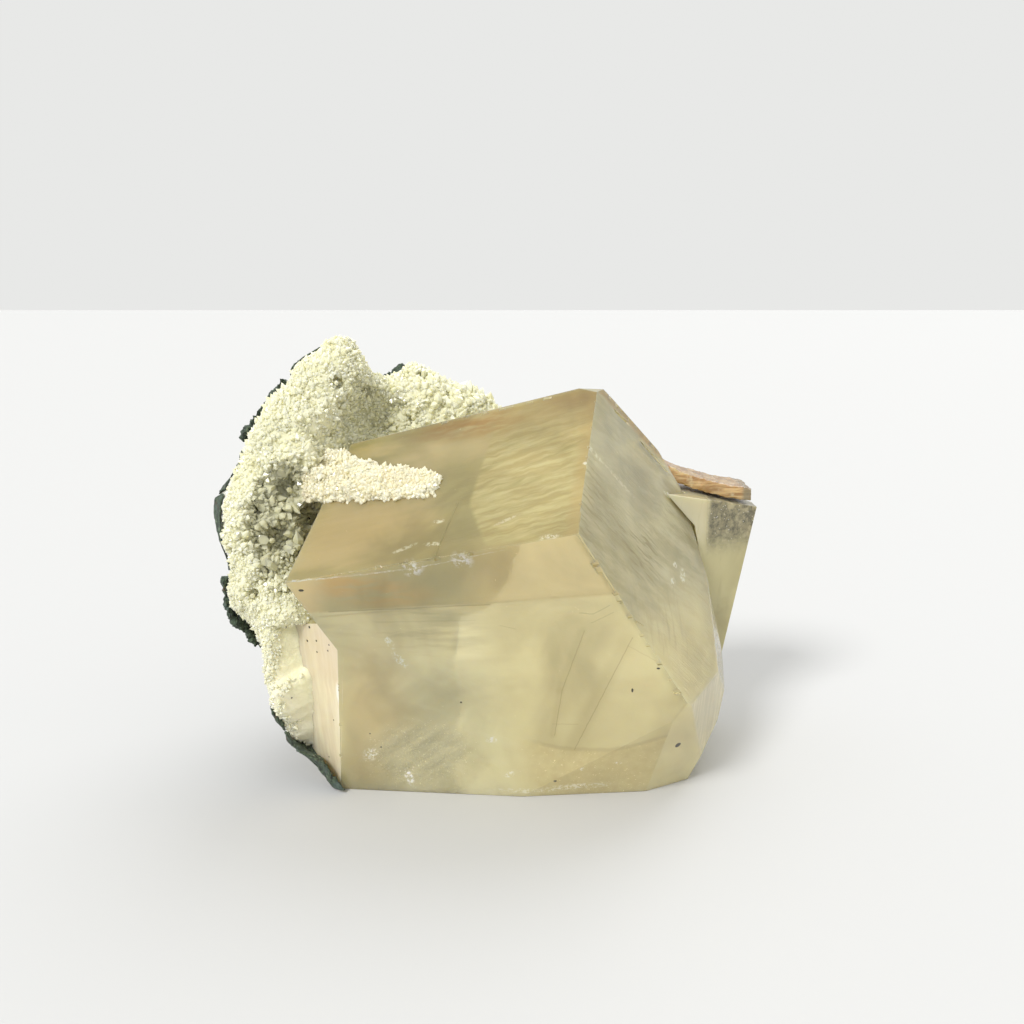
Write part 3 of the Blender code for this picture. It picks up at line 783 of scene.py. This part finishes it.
def side_material():
    """The side block: cream corner, dark grainy band under the ledge, honey below."""
    paint = Paint("side_calcite_look", 0.18, 1.55)
    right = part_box("side_calcite_block")[1][0] / MM
    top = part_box("stained_ledge_plate")[0][2] / MM
    x, z = (paint.vector("DOT_PRODUCT", paint.place, axis) for axis in ((1, 0, 0), (0, 0, 1)))
    cloud = paint.noise(0.12, 3.0, 0.5, 0.5)
    colour = paint.fade(cloud, 0.35, 0.65, (0.47, 0.415, 0.2), (0.6, 0.54, 0.285))
    dark = paint.step(z, top - 8.5, top - 3.5) * paint.step(x, right - 8.2, right - 7.2)
    grain = paint.noise(1.5, 6.0, 0.75)
    coarse = paint.noise(0.7, 3.0, 0.6)
    grains = paint.fade(grain, 0.34, 0.62, (0.085, 0.078, 0.045), (0.3, 0.265, 0.15))
    grains = paint.mix(paint.step(coarse, 0.5, 0.7), grains, (0.43, 0.375, 0.225))
    grains = paint.mix(paint.step(paint.cells(2.0), 0.16, 0.06), grains, HIGHLIGHT_AND_GRAIN_WHITE)
    colour = paint.mix(dark, colour, grains)
    cream = paint.step(z, top - 9.0, top - 3.0) * paint.step(x, right - 6.8, right - 8.6)
    colour = paint.mix(cream * 0.75, colour, (0.76, 0.69, 0.455))
    streak = paint.stretched((1.0, 1.0, 0.15), 1.0, 4.0, 0.6)
    colour = paint.mix(paint.step(streak, 0.55, 0.75) * 0.35, colour, HONEY_OLIVE)
    return paint.finish(
        Subsurface_Weight=0.3,
        Subsurface_Radius=(1.0, 0.8, 0.4),
        Subsurface_Scale=0.003,
        Coat_Weight=0.2,
        Coat_Roughness=0.05,
        Base_Color=colour,
        Roughness=dark * 0.25 + 0.15,
        Transmission_Weight=dark * -0.18 + 0.22,
        Normal=paint.bump(grain * dark + cloud, 0.3, 0.5),
    )


def ledge_material():
    """Iron-stained plate: amber and brown layers, with a clear end."""
    paint = Paint("iron_stained_look", 0.22, 1.55)
    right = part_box("stained_ledge_plate")[1][0] / MM
    x = paint.vector("DOT_PRODUCT", paint.place, (1, 0, 0))
    layers = paint.stretched((0.25, 0.25, 2.2), 1.2, 5.0, 0.6, 0.4)
    colour = paint.fade(layers, 0.35, 0.62, (0.33, 0.185, 0.065), (0.64, 0.45, 0.21))
    cloud = paint.noise(0.6, 4.0, 0.6)
    colour = paint.mix(paint.step(cloud, 0.55, 0.72) * 0.6, colour, (0.7, 0.59, 0.36))
    end = paint.step(x, right - 1.6, right - 0.9)
    colour = paint.mix(end * 0.8, colour, (0.33, 0.285, 0.17))
    upward = paint.vector("DOT_PRODUCT", paint.normal, (0, 0, 1))
    colour = paint.mix(paint.step(upward, 0.5, 0.8) * 0.5, colour, (0.26, 0.15, 0.06))
    return paint.finish(
        Subsurface_Weight=0.3,
        Subsurface_Radius=(1.0, 0.6, 0.3),
        Subsurface_Scale=0.002,
        Base_Color=colour,
        Roughness=cloud * 0.2 + 0.12,
        Transmission_Weight=end * 0.25 + 0.15,
        Normal=paint.bump(layers, 0.2, 0.5),
    )


def chips(face, start, end, count, size, seed):
    """Small cleavage chips knocked out along a crystal edge, given by u, v on a face."""
    draw = random.Random(seed)
    made = []
    for index in range(count):
        share = draw.random()
        u = start[0] + (end[0] - start[0]) * share
        v = start[1] + (end[1] - start[1]) * share
        reach = size * draw.uniform(0.35, 1.0)
        middle = face.point(u, v, 0.0)
        planes = []
        for normal, length in ((UPPER.out, reach * 0.5), (FRONT.out, reach * 0.5), (RIGHT.out, reach)):
            tilt = Vector((draw.uniform(-1, 1), draw.uniform(-1, 1), draw.uniform(-1, 1))) * 0.12
            tilted = (normal + tilt).normalized()
            planes.append((tilted, middle + tilted * length * MM))
            planes.append((-tilted, middle - tilted * length * draw.uniform(0.4, 0.9) * MM))
        made.append(block(f"chip_{seed}_{index}", middle, planes))
    return made


def build_rhomb():
    """The main crystal: CAD solid, rounded right turn, growth steps, left face, chipped edges."""
    rhomb = copy_of("main_calcite_crystal", "main_calcite_crystal_look")
    flatten(rhomb)
    low, high = (Vector(corner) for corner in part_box("main_calcite_crystal"))
    bm = bmesh.new()
    bm.from_mesh(rhomb.data)
    turning = [
        edge for edge in bm.edges
        if min(vert.co.x for vert in edge.verts) > high.x - TURN_ZONE * MM
        and max(vert.co.z for vert in edge.verts) < high.z - TURN_ZONE * MM
        and max(vert.co.z for vert in edge.verts) > 2 * MM
        and len(edge.link_faces) == 2
        and edge.calc_face_angle(0.0) < math.radians(50)
    ]
    bmesh.ops.bevel(bm, geom=turning, offset=TURN_ROUND * MM, segments=5, profile=0.5, affect="EDGES",
                    clamp_overlap=True)
    bm.to_mesh(rhomb.data)
    bm.free()

    flank_planes = [
        (FLANK.out, FLANK.corner),
        ((FLANK.out * -0.25 - FLANK.across).normalized(), FLANK.point(-8.9, 0)),
        (FLANK.across * -0.57 + FLANK.along * -0.82, FLANK.point(-6.6, -20.0)),
        (face_normal(-60, 48), FLANK.point(-1.0, 2.4)),
        (face_normal(150, 0), FLANK.point(0, 0, -9.0)),
        (face_normal(90, 0), FLANK.point(4.0, 0)),
        (-UP, Vector((0.0, 0.0, 0.0))),
        (FRONT.out, FRONT.point(0, 0, -FLUSH)),
    ]
    boolean(rhomb, block("left_face", FLANK.point(-3, -6, -4), flank_planes), "UNION")
    for name, face, left, right, low, high, inner, outer, lean, inside, operation in (
        ("top_band", FRONT, -31.0, 9.0, -9.2, 3.0, -2.0, 0.12, 6.8, (UPPER, RIGHT), "UNION"),
        ("right_step", RIGHT, -4.0, 6.5, -9.0, 3.0, -2.0, 0.12, -38.0, (UPPER, FRONT), "UNION"),
        ("upper_step", UPPER, -33.0, -16.0, -9.0, 0.5, -1.5, 0.1, 16.0, (FRONT,), "UNION"),
        ("shoulder_slot", RIGHT, 19.6, 22.0, 11.7, 12.3, -1.2, 5.0, -42.0, (), "DIFFERENCE"),
        ("shoulder_slit", RIGHT, 23.4, 28.0, 5.4, 5.8, -1.4, 5.0, -49.0, (), "DIFFERENCE"),
    ):
        boolean(rhomb, slab(name, face, left, right, low, high, inner, outer, lean, inside), operation)
    for face, start, end, count, size, seed in (
        (FRONT, (-34.0, -7.0), (-10.0, -2.4), 16, 0.4, 11),
        (FRONT, (0.6, -1.2), (12.6, -21.0), 16, 0.55, 12),
        (UPPER, (-3.2, 22.0), (-0.2, 1.0), 8, 0.35, 13),
        (RIGHT, (18.6, 16.1), (29.5, 3.8), 14, 0.8, 14),
        (FRONT, (-29.4, -17.0), (-30.6, -35.0), 8, 0.4, 15),
        (UPPER, (-24.0, 15.6), (-6.0, 23.0), 10, 0.55, 16),
    ):
        for chip in chips(face, start, end, count, size, seed):
            boolean(rhomb, chip, "DIFFERENCE")
    flatten(rhomb)
    bevelled(rhomb, EDGE_ROUND, 2, 12)
    level(rhomb)
    wear(rhomb, calcite_material())
    return rhomb


# ---- chalcedony, druse and rind

GEODE_CENTRE = Vector((0.2, -18.1, 40.0))
GEODE_RADII = Vector((38.0, 38.0, 47.0))


def outward(place):
    """How far a point lies outside the geode's hollow, in mm."""
    offset = place / MM - GEODE_CENTRE
    scaled = Vector((offset.x / GEODE_RADII.x, offset.y / GEODE_RADII.y, offset.z / GEODE_RADII.z))
    return (scaled.length - 1.0) * GEODE_RADII.x


def band_share(place):
    """How much a point of the wall belongs to the smooth cream band low on the left."""
    z = place.z / MM
    return soft(z, 27.0, 22.0) * soft(outward(place), -4.2, -2.2)


# Hollows where the druse is greyer, partly by painted shade: (middle, radii), in mm, and how deep and grey
# each is
HOLLOWS = (
    ((-26.4, -6.5, 34.4), (4.4, 9.0, 8.0), 1.0),
    ((-16.8, 5.5, 46.4), (4.6, 8.0, 7.0), 0.25),
)


def chalcedony_material():
    """Cream to yellow-green chalcedony, with a smooth band and grey-green hollows, their grey partly painted
    shade.
    """
    paint = Paint("chalcedony_look", 0.35, 1.54)
    z = paint.vector("DOT_PRODUCT", paint.place, (0, 0, 1))
    cloud = paint.noise(0.18, 5.0, 0.6, 0.5)
    colour = paint.fade(cloud, 0.35, 0.65, (0.8, 0.775, 0.5), (0.92, 0.89, 0.62))
    lumps = paint.cells(0.9)
    colour = paint.mix(paint.step(lumps, 0.25, 0.65) * 0.3, colour, (0.64, 0.615, 0.39))
    # the hollows' grey: painted shade in the recesses, partly the grey-green crystals' own colour
    colour = paint.hollows(colour, (0.6, 0.58, 0.385))
    offset = paint.vector("SUBTRACT", paint.place, tuple(GEODE_CENTRE))
    out = paint.vector("LENGTH", paint.vector("DIVIDE", offset, tuple(GEODE_RADII)))
    rim = paint.step(out, 0.945, 0.965)
    agate = paint.noise_at(paint.combine(out * 90.0, 0.0, z * 0.08), 1.2, 3.0, 0.5)
    banded = paint.fade(agate, 0.35, 0.65, (0.78, 0.77, 0.68), (0.93, 0.915, 0.82))
    colour = paint.mix(rim * 0.9, colour, banded)
    stained = paint.step(out, 1.0, 1.03) * 0.75
    colour = paint.mix(stained, colour, (0.26, 0.275, 0.2))
    low = paint.step(z, 26.0, 20.0) * paint.step(out, 0.86, 0.92) * paint.step(out, 1.03, 1.0)
    colour = paint.mix(low * 0.85, colour, (0.93, 0.88, 0.64))
    specks = paint.step(paint.cells(0.45), 0.085, 0.06)
    colour = paint.mix(specks, colour, (0.05, 0.04, 0.03))
    grain = paint.noise(2.2, 5.0, 0.7)
    return paint.finish(
        Subsurface_Weight=0.35,
        Subsurface_Radius=(1.0, 0.9, 0.6),
        Subsurface_Scale=0.002,
        Base_Color=colour,
        Roughness=grain * 0.3 + 0.22,
        Normal=paint.bump(grain, 0.35, 0.6),
    )


def druse_material(name, warm, pale, deep):
    """Glassy quartz grains whose tint drifts from crystal to crystal."""
    paint = Paint(name, 0.14, 1.54)
    tint = paint.noise(1.1, 2.0, 0.5)
    drift = paint.noise(0.14, 4.0, 0.55, 0.4)
    colour = paint.mix(paint.step(tint, 0.38, 0.62), warm, pale)
    colour = paint.mix(paint.step(drift, 0.5, 0.66) * 0.45, colour, deep)
    # the hollows' grey: painted shade in the recesses, partly the grey-green crystals' own colour
    colour = paint.hollows(colour, deep)
    black = paint.step(paint.cells(0.16), 0.07, 0.055)
    colour = paint.mix(black, colour, SPECK)
    return paint.finish(
        Subsurface_Weight=0.45,
        Subsurface_Radius=(1.0, 0.9, 0.65),
        Subsurface_Scale=0.0012,
        Base_Color=colour,
        Roughness=paint.noise(3.0, 3.0) * 0.25 + 0.05,
        Transmission_Weight=tint * 0.16 + 0.04,
        Normal=paint.bump(paint.noise(4.0, 3.0), 0.05, 0.3),
    )


def rind_material():
    """Dark green celadonite with black cracks, pale fibres and rust spots."""
    paint = Paint("celadonite_look", 0.7, 1.5)
    fibre = paint.stretched((1.0, 1.0, 0.35), 2.6, 6.0, 0.7, 0.8)
    patch = paint.noise(0.45, 4.0, 0.6, 0.6)
    colour = paint.fade(fibre, 0.38, 0.56, (0.016, 0.02, 0.016), (0.075, 0.115, 0.07))
    colour = paint.mix(paint.step(fibre, 0.54, 0.66) * 0.8, colour, (0.23, 0.28, 0.185))
    colour = paint.mix(paint.step(patch, 0.55, 0.62) * 0.75, colour, (0.1, 0.14, 0.12))
    rust = paint.step(paint.noise(0.8, 4.0, 0.6), 0.6, 0.68) * paint.step(fibre, 0.4, 0.55)
    colour = paint.mix(rust * 0.8, colour, (0.13, 0.06, 0.02))
    pale = paint.step(paint.noise(1.2, 5.0, 0.7), 0.64, 0.7) * paint.step(patch, 0.45, 0.55)
    colour = paint.mix(pale, colour, (0.48, 0.47, 0.38))
    return paint.finish(
        Base_Color=colour,
        Roughness=fibre * 0.5 + 0.35,
        Normal=paint.bump(fibre, 0.5, 0.9),
    )


RIND_SHARE = {
    "rind_bulge": 0.22,
    "rind_flake": 0.3,
    "rind_shoulder": 1.0,
    "rind_wedge": 1.2,
    "rind_peak": 0.4,
    "rind_shin": 0.3,
    "rind_foot": 0.42,
}


def thin_rind(plate, tree, share):
    """Bring a plate's skin nearer to the wall, or further from it."""
    for vert in plate.data.vertices:
        ground = tree.find_nearest(vert.co)[0]
        vert.co = ground + (vert.co - ground) * share


def hollow_share(place):
    """How far a point lies within the druse's grey hollows: 1 inside, 0 outside, with a ragged edge."""
    point = place / MM
    ragged = noise.noise(point * 0.55) * 0.3 + noise.noise(point * 1.3) * 0.16
    deepest = 0.0
    for middle, radii, share in HOLLOWS:
        offset = point - Vector(middle)
        reach = Vector((offset.x / radii[0], offset.y / radii[1], offset.z / radii[2])).length
        deepest = max(deepest, share * soft(reach + ragged, 1.12, 0.98))
    return deepest


def strip_left(v):
    """Left edge of the narrow left face at height v, in its own u."""
    if v > -6.0:
        return -8.8
    return -7.1 - (-6.8 - v) * 0.165


def over_faces(place, margin):
    """The visible faces of the crystal that a point stands over, each with its u, v and out there."""
    found = []
    u, v, out = FLANK.measure(place)
    if -22.5 < v < 1.0 and strip_left(v) - margin < u < 2.5:
        found.append((FLANK, u, v, out))
    u, v, out = FRONT.measure(place)
    if u > -30.6 - margin and v < -15.5:
        found.append((FRONT, u, v, out))
    return found


def clear_of_faces(place):
    """Move a point of the wall back behind the faces that it would hide."""
    for _ in range(3):
        for face, u, v, out in over_faces(place, 0.0):
            if out > -STRIP_GAP * 0.99:
                place = face.point(u, v, -STRIP_GAP)
                break
    return place


def build_wall():
    """The wall's fine skin: raised plates round deep hollows, smooth along the cream band."""
    wall = copy_of("chalcedony_wall", "chalcedony_wall_look")
    remeshed(wall, WALL_GRAIN)
    normals = [vert.normal.copy() for vert in wall.data.vertices]
    for vert, normal in zip(wall.data.vertices, normals):
        inner = soft(outward(vert.co), -0.6, -2.2) * soft(vert.co.z / MM, 0.3, 1.5)
        depth = PLATE_RISE - (PLATE_RISE + HOLLOW_DEPTH) * hollow_share(vert.co)
        crest = soft(vert.co.z / MM, 49.0, 54.0)
        if normal.y < 0.5:
            vert.co += normal * (depth * inner * (1.0 - crest) * MM)
    wall.data.update()
    roughen(
        wall,
        [(0.5, 3.4, 3.0, False), (0.42, 1.5, 5.0, True), (0.16, 0.7, 7.0, False)],
        lambda place: (1.0 - 0.35 * band_share(place)) * soft(place.z / MM, 0.3, 1.5),
    )
    bm = bmesh.new()
    bm.from_mesh(wall.data)
    near = [vert for vert in bm.verts if over_faces(vert.co, 1.5)]
    for vert in near:
        vert.co = clear_of_faces(vert.co)
    for _ in range(3):
        bmesh.ops.smooth_vert(bm, verts=near, factor=0.5, use_axis_x=True, use_axis_y=True, use_axis_z=False)
    bm.to_mesh(wall.data)
    bm.free()
    roughen(wall, [(0.2, 1.5, 13.0, False), (0.12, 0.8, 17.0, False)],
            lambda place: 1.0 if over_faces(place, 1.5) and place.z / MM > 1.5 else 0.0)
    smooth(wall, 60)
    wear(wall, chalcedony_material())
    return wall


def grow_druse(name, host, material, size_of, lean_of, tall_of, seed, limit, keep_off):
    """Cover a host mesh with small six-sided quartz crystals, set close together."""
    draw = random.Random(seed)
    mesh = host.data
    mesh.calc_loop_triangles()
    triangles = mesh.loop_triangles
    places = mesh.vertices
    weights = []
    total = 0.0
    for triangle in triangles:
        total += triangle.area
        weights.append(total)
    picks = sorted(draw.random() * total for _ in range(limit))
    order = []
    index = 0
    for pick in picks:
        while weights[index] < pick:
            index += 1
        order.append(index)
    draw.shuffle(order)
    taken = {}
    vertices = []
    faces = []
    for index in order:
        triangle = triangles[index]
        a, b, c = (places[corner].co for corner in triangle.vertices)
        s, t = draw.random(), draw.random()
        if s + t > 1.0:
            s, t = 1.0 - s, 1.0 - t
        root = a + (b - a) * s + (c - a) * t
        radius = size_of(root, triangle.normal, draw)
        if radius <= 0.0:
            continue
        pitch = DRUSE_PITCH * MM
        cell = tuple(int(math.floor(value / pitch)) for value in root)
        crowded = False
        for step in ((i, j, k) for i in (-1, 0, 1) for j in (-1, 0, 1) for k in (-1, 0, 1)):
            other = taken.get((cell[0] + step[0], cell[1] + step[1], cell[2] + step[2]))
            if other and (other[0] - root).length < (other[1] + radius) * CROWDING * MM:
                crowded = True
                break
        if crowded or cell in taken:
            continue
        if keep_off and keep_off.find_nearest(root)[3] < DRUSE_CLEAR * MM:
            continue
        taken[cell] = (root, radius)
        jitter = Vector((draw.gauss(0, 1), draw.gauss(0, 1), draw.gauss(0, 1))) * TILT
        axis = (triangle.normal + jitter + lean_of(root)).normalized()
        side = axis.orthogonal().normalized()
        other_side = axis.cross(side)
        spin = draw.random() * math.tau
        tall = tall_of(root)
        length = radius * draw.uniform(0.2, 1.6) * tall
        tip = radius * draw.uniform(0.8, 1.5) * min(1.0, 0.5 + tall)
        girth = [1.0 + draw.uniform(-GIRTH_SPREAD, GIRTH_SPREAD) for _ in range(6)]
        first = len(vertices)
        for level, share in ((-0.5 * radius, 1.0), (length * 0.6, 0.9)):
            for corner in range(6):
                angle = spin + corner * math.pi / 3
                wide = radius * share * girth[corner]
                ring = side * math.cos(angle) + other_side * math.sin(angle)
                vertices.append(root + (ring * wide + axis * level) * MM)
        lean = (side * draw.uniform(-0.45, 0.45) + other_side * draw.uniform(-0.45, 0.45)) * radius
        vertices.append(root + (axis * (length * 0.6 + tip) + lean) * MM)
        for corner in range(6):
            after = (corner + 1) % 6
            faces.append((first + corner, first + after, first + 6 + after, first + 6 + corner))
            faces.append((first + 6 + corner, first + 6 + after, first + 12))
        faces.append(tuple(first + corner for corner in reversed(range(6))))
    mesh = bpy.data.meshes.new(name)
    mesh.from_pydata([tuple(place) for place in vertices], [], faces)
    mesh.update()
    mesh.materials.append(material)
    obj = bpy.data.objects.new(name, mesh)
    bpy.context.scene.collection.objects.link(obj)
    return obj


def wall_grain(root, normal, draw):
    """Radius of the crystal that grows at a point of the wall, in mm; 0 where none does."""
    out = outward(root)
    z = root.z / MM
    low = soft(z, 31.0, 24.0)
    rim = out > DRUSE_REACH + DRUSE_REACH_LOW * low
    if z < 1.2 or rim and (low < 0.5 or normal.y > -0.3):
        return 0.0
    if over_faces(root, 0.2):
        return 0.0
    if normal.y > 0.75 and z < 40.0:
        return 0.0
    hollow = hollow_share(root)
    plate = (1.0 - hollow) * soft(noise.noise(root / MM * 0.3), -0.15, 0.25)
    if draw.random() < DRUSE_BARE * plate or draw.random() < band_share(root) * 0.15:
        return 0.0
    crest = soft(z, 42.0, 50.0) * soft(root.x / MM, -12.0, -8.0)
    fine = (1.0 - 0.25 * low) * (0.75 if rim else 1.0)
    return (0.22 + 0.3 * draw.random() ** 2) * fine * (1.0 + 0.7 * max(crest, hollow * draw.random()))


def crust_cover(u, v):
    """Thickness of the crust at a point of the upper face, in mm; 0 or less where there is none."""
    low = 1.4 + 0.011 * (u + 35.0) ** 2
    high = 7.5 + 0.06 * max(0.0, -20.4 - u) + 0.22 * max(0.0, -29.5 - u)
    place = Vector((u, v, 0.0))
    ragged = noise.noise(place * 0.75) * 0.9 + noise.noise(place * 1.9) * 0.45
    inside = min(v - low, high - v, -19.7 - u) + ragged
    lumps = 1.0 + 0.6 * noise.noise(place * 0.55 + UP * 7.0)
    return min(inside * 0.9, (0.55 + 0.1 * max(0.0, -24.0 - u)) * lumps)


def build_crust():
    """The crust on the upper face: a thin ragged sheet, thicker where it joins the wall."""
    columns, rows = CRUST_GRID
    bm = bmesh.new()
    grid = {}
    for row in range(rows + 1):
        for column in range(columns + 1):
            u = CRUST_CORNER[0] + CRUST_SPAN[0] * column / columns
            v = CRUST_CORNER[1] + CRUST_SPAN[1] * row / rows
            grid[row, column] = (u, v, crust_cover(u, v))
    tops, feet = {}, {}

    def corner(store, key, sunk):
        if key not in store:
            u, v, cover = grid[key]
            out = -CRUST_ROOT if sunk else max(cover, -CRUST_ROOT * 0.5)
            store[key] = bm.verts.new(UPPER.point(u, v, out))
        return store[key]

    kept = {
        (row, column)
        for row in range(rows) for column in range(columns)
        if sum(grid[row + i, column + j][2] for i in (0, 1) for j in (0, 1)) > 0.0
    }
    for row, column in sorted(kept):
        ring = [(row, column), (row, column + 1), (row + 1, column + 1), (row + 1, column)]
        bm.faces.new([corner(tops, key, False) for key in ring])
        bm.faces.new([corner(feet, key, True) for key in reversed(ring)])
        for start, end, beyond in (
            (ring[0], ring[1], (row - 1, column)), (ring[1], ring[2], (row, column + 1)),
            (ring[2], ring[3], (row + 1, column)), (ring[3], ring[0], (row, column - 1)),
        ):
            if beyond not in kept:
                bm.faces.new([corner(tops, end, False), corner(tops, start, False),
                              corner(feet, start, True), corner(feet, end, True)])
    bmesh.ops.recalc_face_normals(bm, faces=bm.faces[:])
    return new_object("druse_crust_patch_look", bm, 60)


def wall_lean(root):
    """Crystals on the crest stand more upright."""
    return UP * (0.55 * soft(root.z / MM, 40.0, 50.0))


# ---- put the specimen together

rhomb_look = build_rhomb()
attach(rhomb_look, "root")
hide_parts("main_calcite_crystal")

side_look = copy_of("side_calcite_block", "side_calcite_block_look")
flatten(side_look)
bevelled(side_look, EDGE_ROUND, 2, 12)
level(side_look)
wear(side_look, side_material())
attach(side_look, "root")
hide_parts("side_calcite_block")

ledge_look = copy_of("stained_ledge_plate", "stained_ledge_plate_look")
remeshed(ledge_look, 0.25)
roughen(ledge_look, [(0.22, 1.6, 2.0, False), (0.1, 0.5, 4.0, False)])
smooth(ledge_look, 35)
wear(ledge_look, ledge_material())
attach(ledge_look, "root")
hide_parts("stained_ledge_plate")

wall_look = build_wall()
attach(wall_look, "root")
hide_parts("chalcedony_wall")

wall_druse = grow_druse(
    "wall_druse", wall_look,
    druse_material("quartz_druse_look", (0.86, 0.825, 0.53), (0.95, 0.93, 0.69), (0.62, 0.6, 0.4)),
    wall_grain, wall_lean, lambda root: 0.45 + 0.8 * hollow_share(root), 21, DRUSE_COUNT, tree_of(rhomb_look),
)
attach(wall_druse, "root")

crust_look = build_crust()
crust_material = druse_material("crust_look", (0.93, 0.85, 0.57), (0.96, 0.915, 0.68), (0.85, 0.76, 0.51))
crust_look.data.materials.append(crust_material)
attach(crust_look, "root")
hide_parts("druse_crust_patch")

crust_druse = grow_druse(
    "crust_druse", crust_look, crust_material,
    lambda root, normal, draw: 0.18 + 0.24 * draw.random() ** 2 if UPPER.measure(root)[2] > 0.0 else 0.0,
    lambda root: UP * 0.3, lambda root: 0.8, 22, CRUST_COUNT, None,
)
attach(crust_druse, "root")

celadonite = rind_material()
wall_tree = tree_of(wall_look)
for node in sorted(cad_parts):
    if node.startswith("rind_"):
        plate = copy_of(node, node + "_look")
        remeshed(plate, RIND_GRAIN)
        share = RIND_SHARE.get(node, 1.0)
        thin_rind(plate, wall_tree, share)
        roughen(plate, [(0.6, 1.8, 9.0, False), (0.45, 0.7, 12.0, True), (0.25, 0.35, 15.0, False)],
                lambda place: soft(place.z / MM, 0.3, 1.5) * min(1.0, share))
        smooth(plate, 50)
        wear(plate, celadonite)
        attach(plate, "root")
        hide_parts(node)

quartz_look = druse_material("quartz_crystal_look", (0.8, 0.77, 0.52), (0.93, 0.905, 0.68), (0.6, 0.58, 0.38))
for node in sorted(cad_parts):
    if node.startswith("quartz_crystal_"):
        crystal = copy_of(node, node + "_look")
        middle = sum((Vector(corner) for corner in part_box(node)), Vector()) / 2
        ground = wall_tree.find_nearest(middle)[0]
        for vert in crystal.data.vertices:
            vert.co = ground + (vert.co - ground) * CRYSTAL_SHARE
        wear(crystal, quartz_look)
        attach(crystal, "root")
        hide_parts(node)

# ---- floor, light and camera

floor_bm = bmesh.new()
bmesh.ops.create_grid(
    floor_bm, x_segments=4, y_segments=4, size=FLOOR_HALF,
    matrix=Matrix.Translation((0.0, 0.0, -FLOOR_GAP * MM)),
)
floor = new_object("floor", floor_bm)
floor_paint = Paint("floor_pale", 0.8, 1.4)
floor.data.materials.append(floor_paint.finish(Base_Color=FLOOR_TINT))

world = bpy.data.worlds.new("studio")
bpy.context.scene.world = world
world.use_nodes = True
background = world.node_tree.nodes["Background"]
background.inputs["Color"].default_value = (*SKY_TINT, 1.0)
background.inputs["Strength"].default_value = SKY_STRENGTH


def sky_light(name, compass, elevation, strength, angle):
    """Broad, soft light from far off: compass and elevation of where it stands, in degrees."""
    light = bpy.data.lights.new(name, "SUN")
    light.energy = strength
    light.angle = math.radians(angle)
    obj = bpy.data.objects.new(name, light)
    obj.rotation_euler = (-face_normal(compass, elevation)).to_track_quat("-Z", "Y").to_euler()
    bpy.context.scene.collection.objects.link(obj)


sky_light("key", *KEY_LIGHT)
sky_light("back", *BACK_LIGHT)

camera_data = bpy.data.cameras.new("camera")
camera_data.lens = CAMERA_LENS
camera_data.sensor_width = 36.0
camera_data.clip_start = 0.005
camera_data.clip_end = 20.0
camera = bpy.data.objects.new("camera", camera_data)
camera.location = Vector(CAMERA_PLACE) * MM
camera.rotation_euler = (math.radians(90.0 - CAMERA_PITCH), 0.0, 0.0)
bpy.context.scene.collection.objects.link(camera)
bpy.context.scene.camera = camera

bpy.context.scene.view_settings.view_transform = "Standard"
bpy.context.scene.cycles.use_denoising = True
bpy.context.scene.cycles.caustics_reflective = False
bpy.context.scene.cycles.caustics_refractive = True
bpy.context.scene.cycles.sample_clamp_indirect = CLAMP_INDIRECT
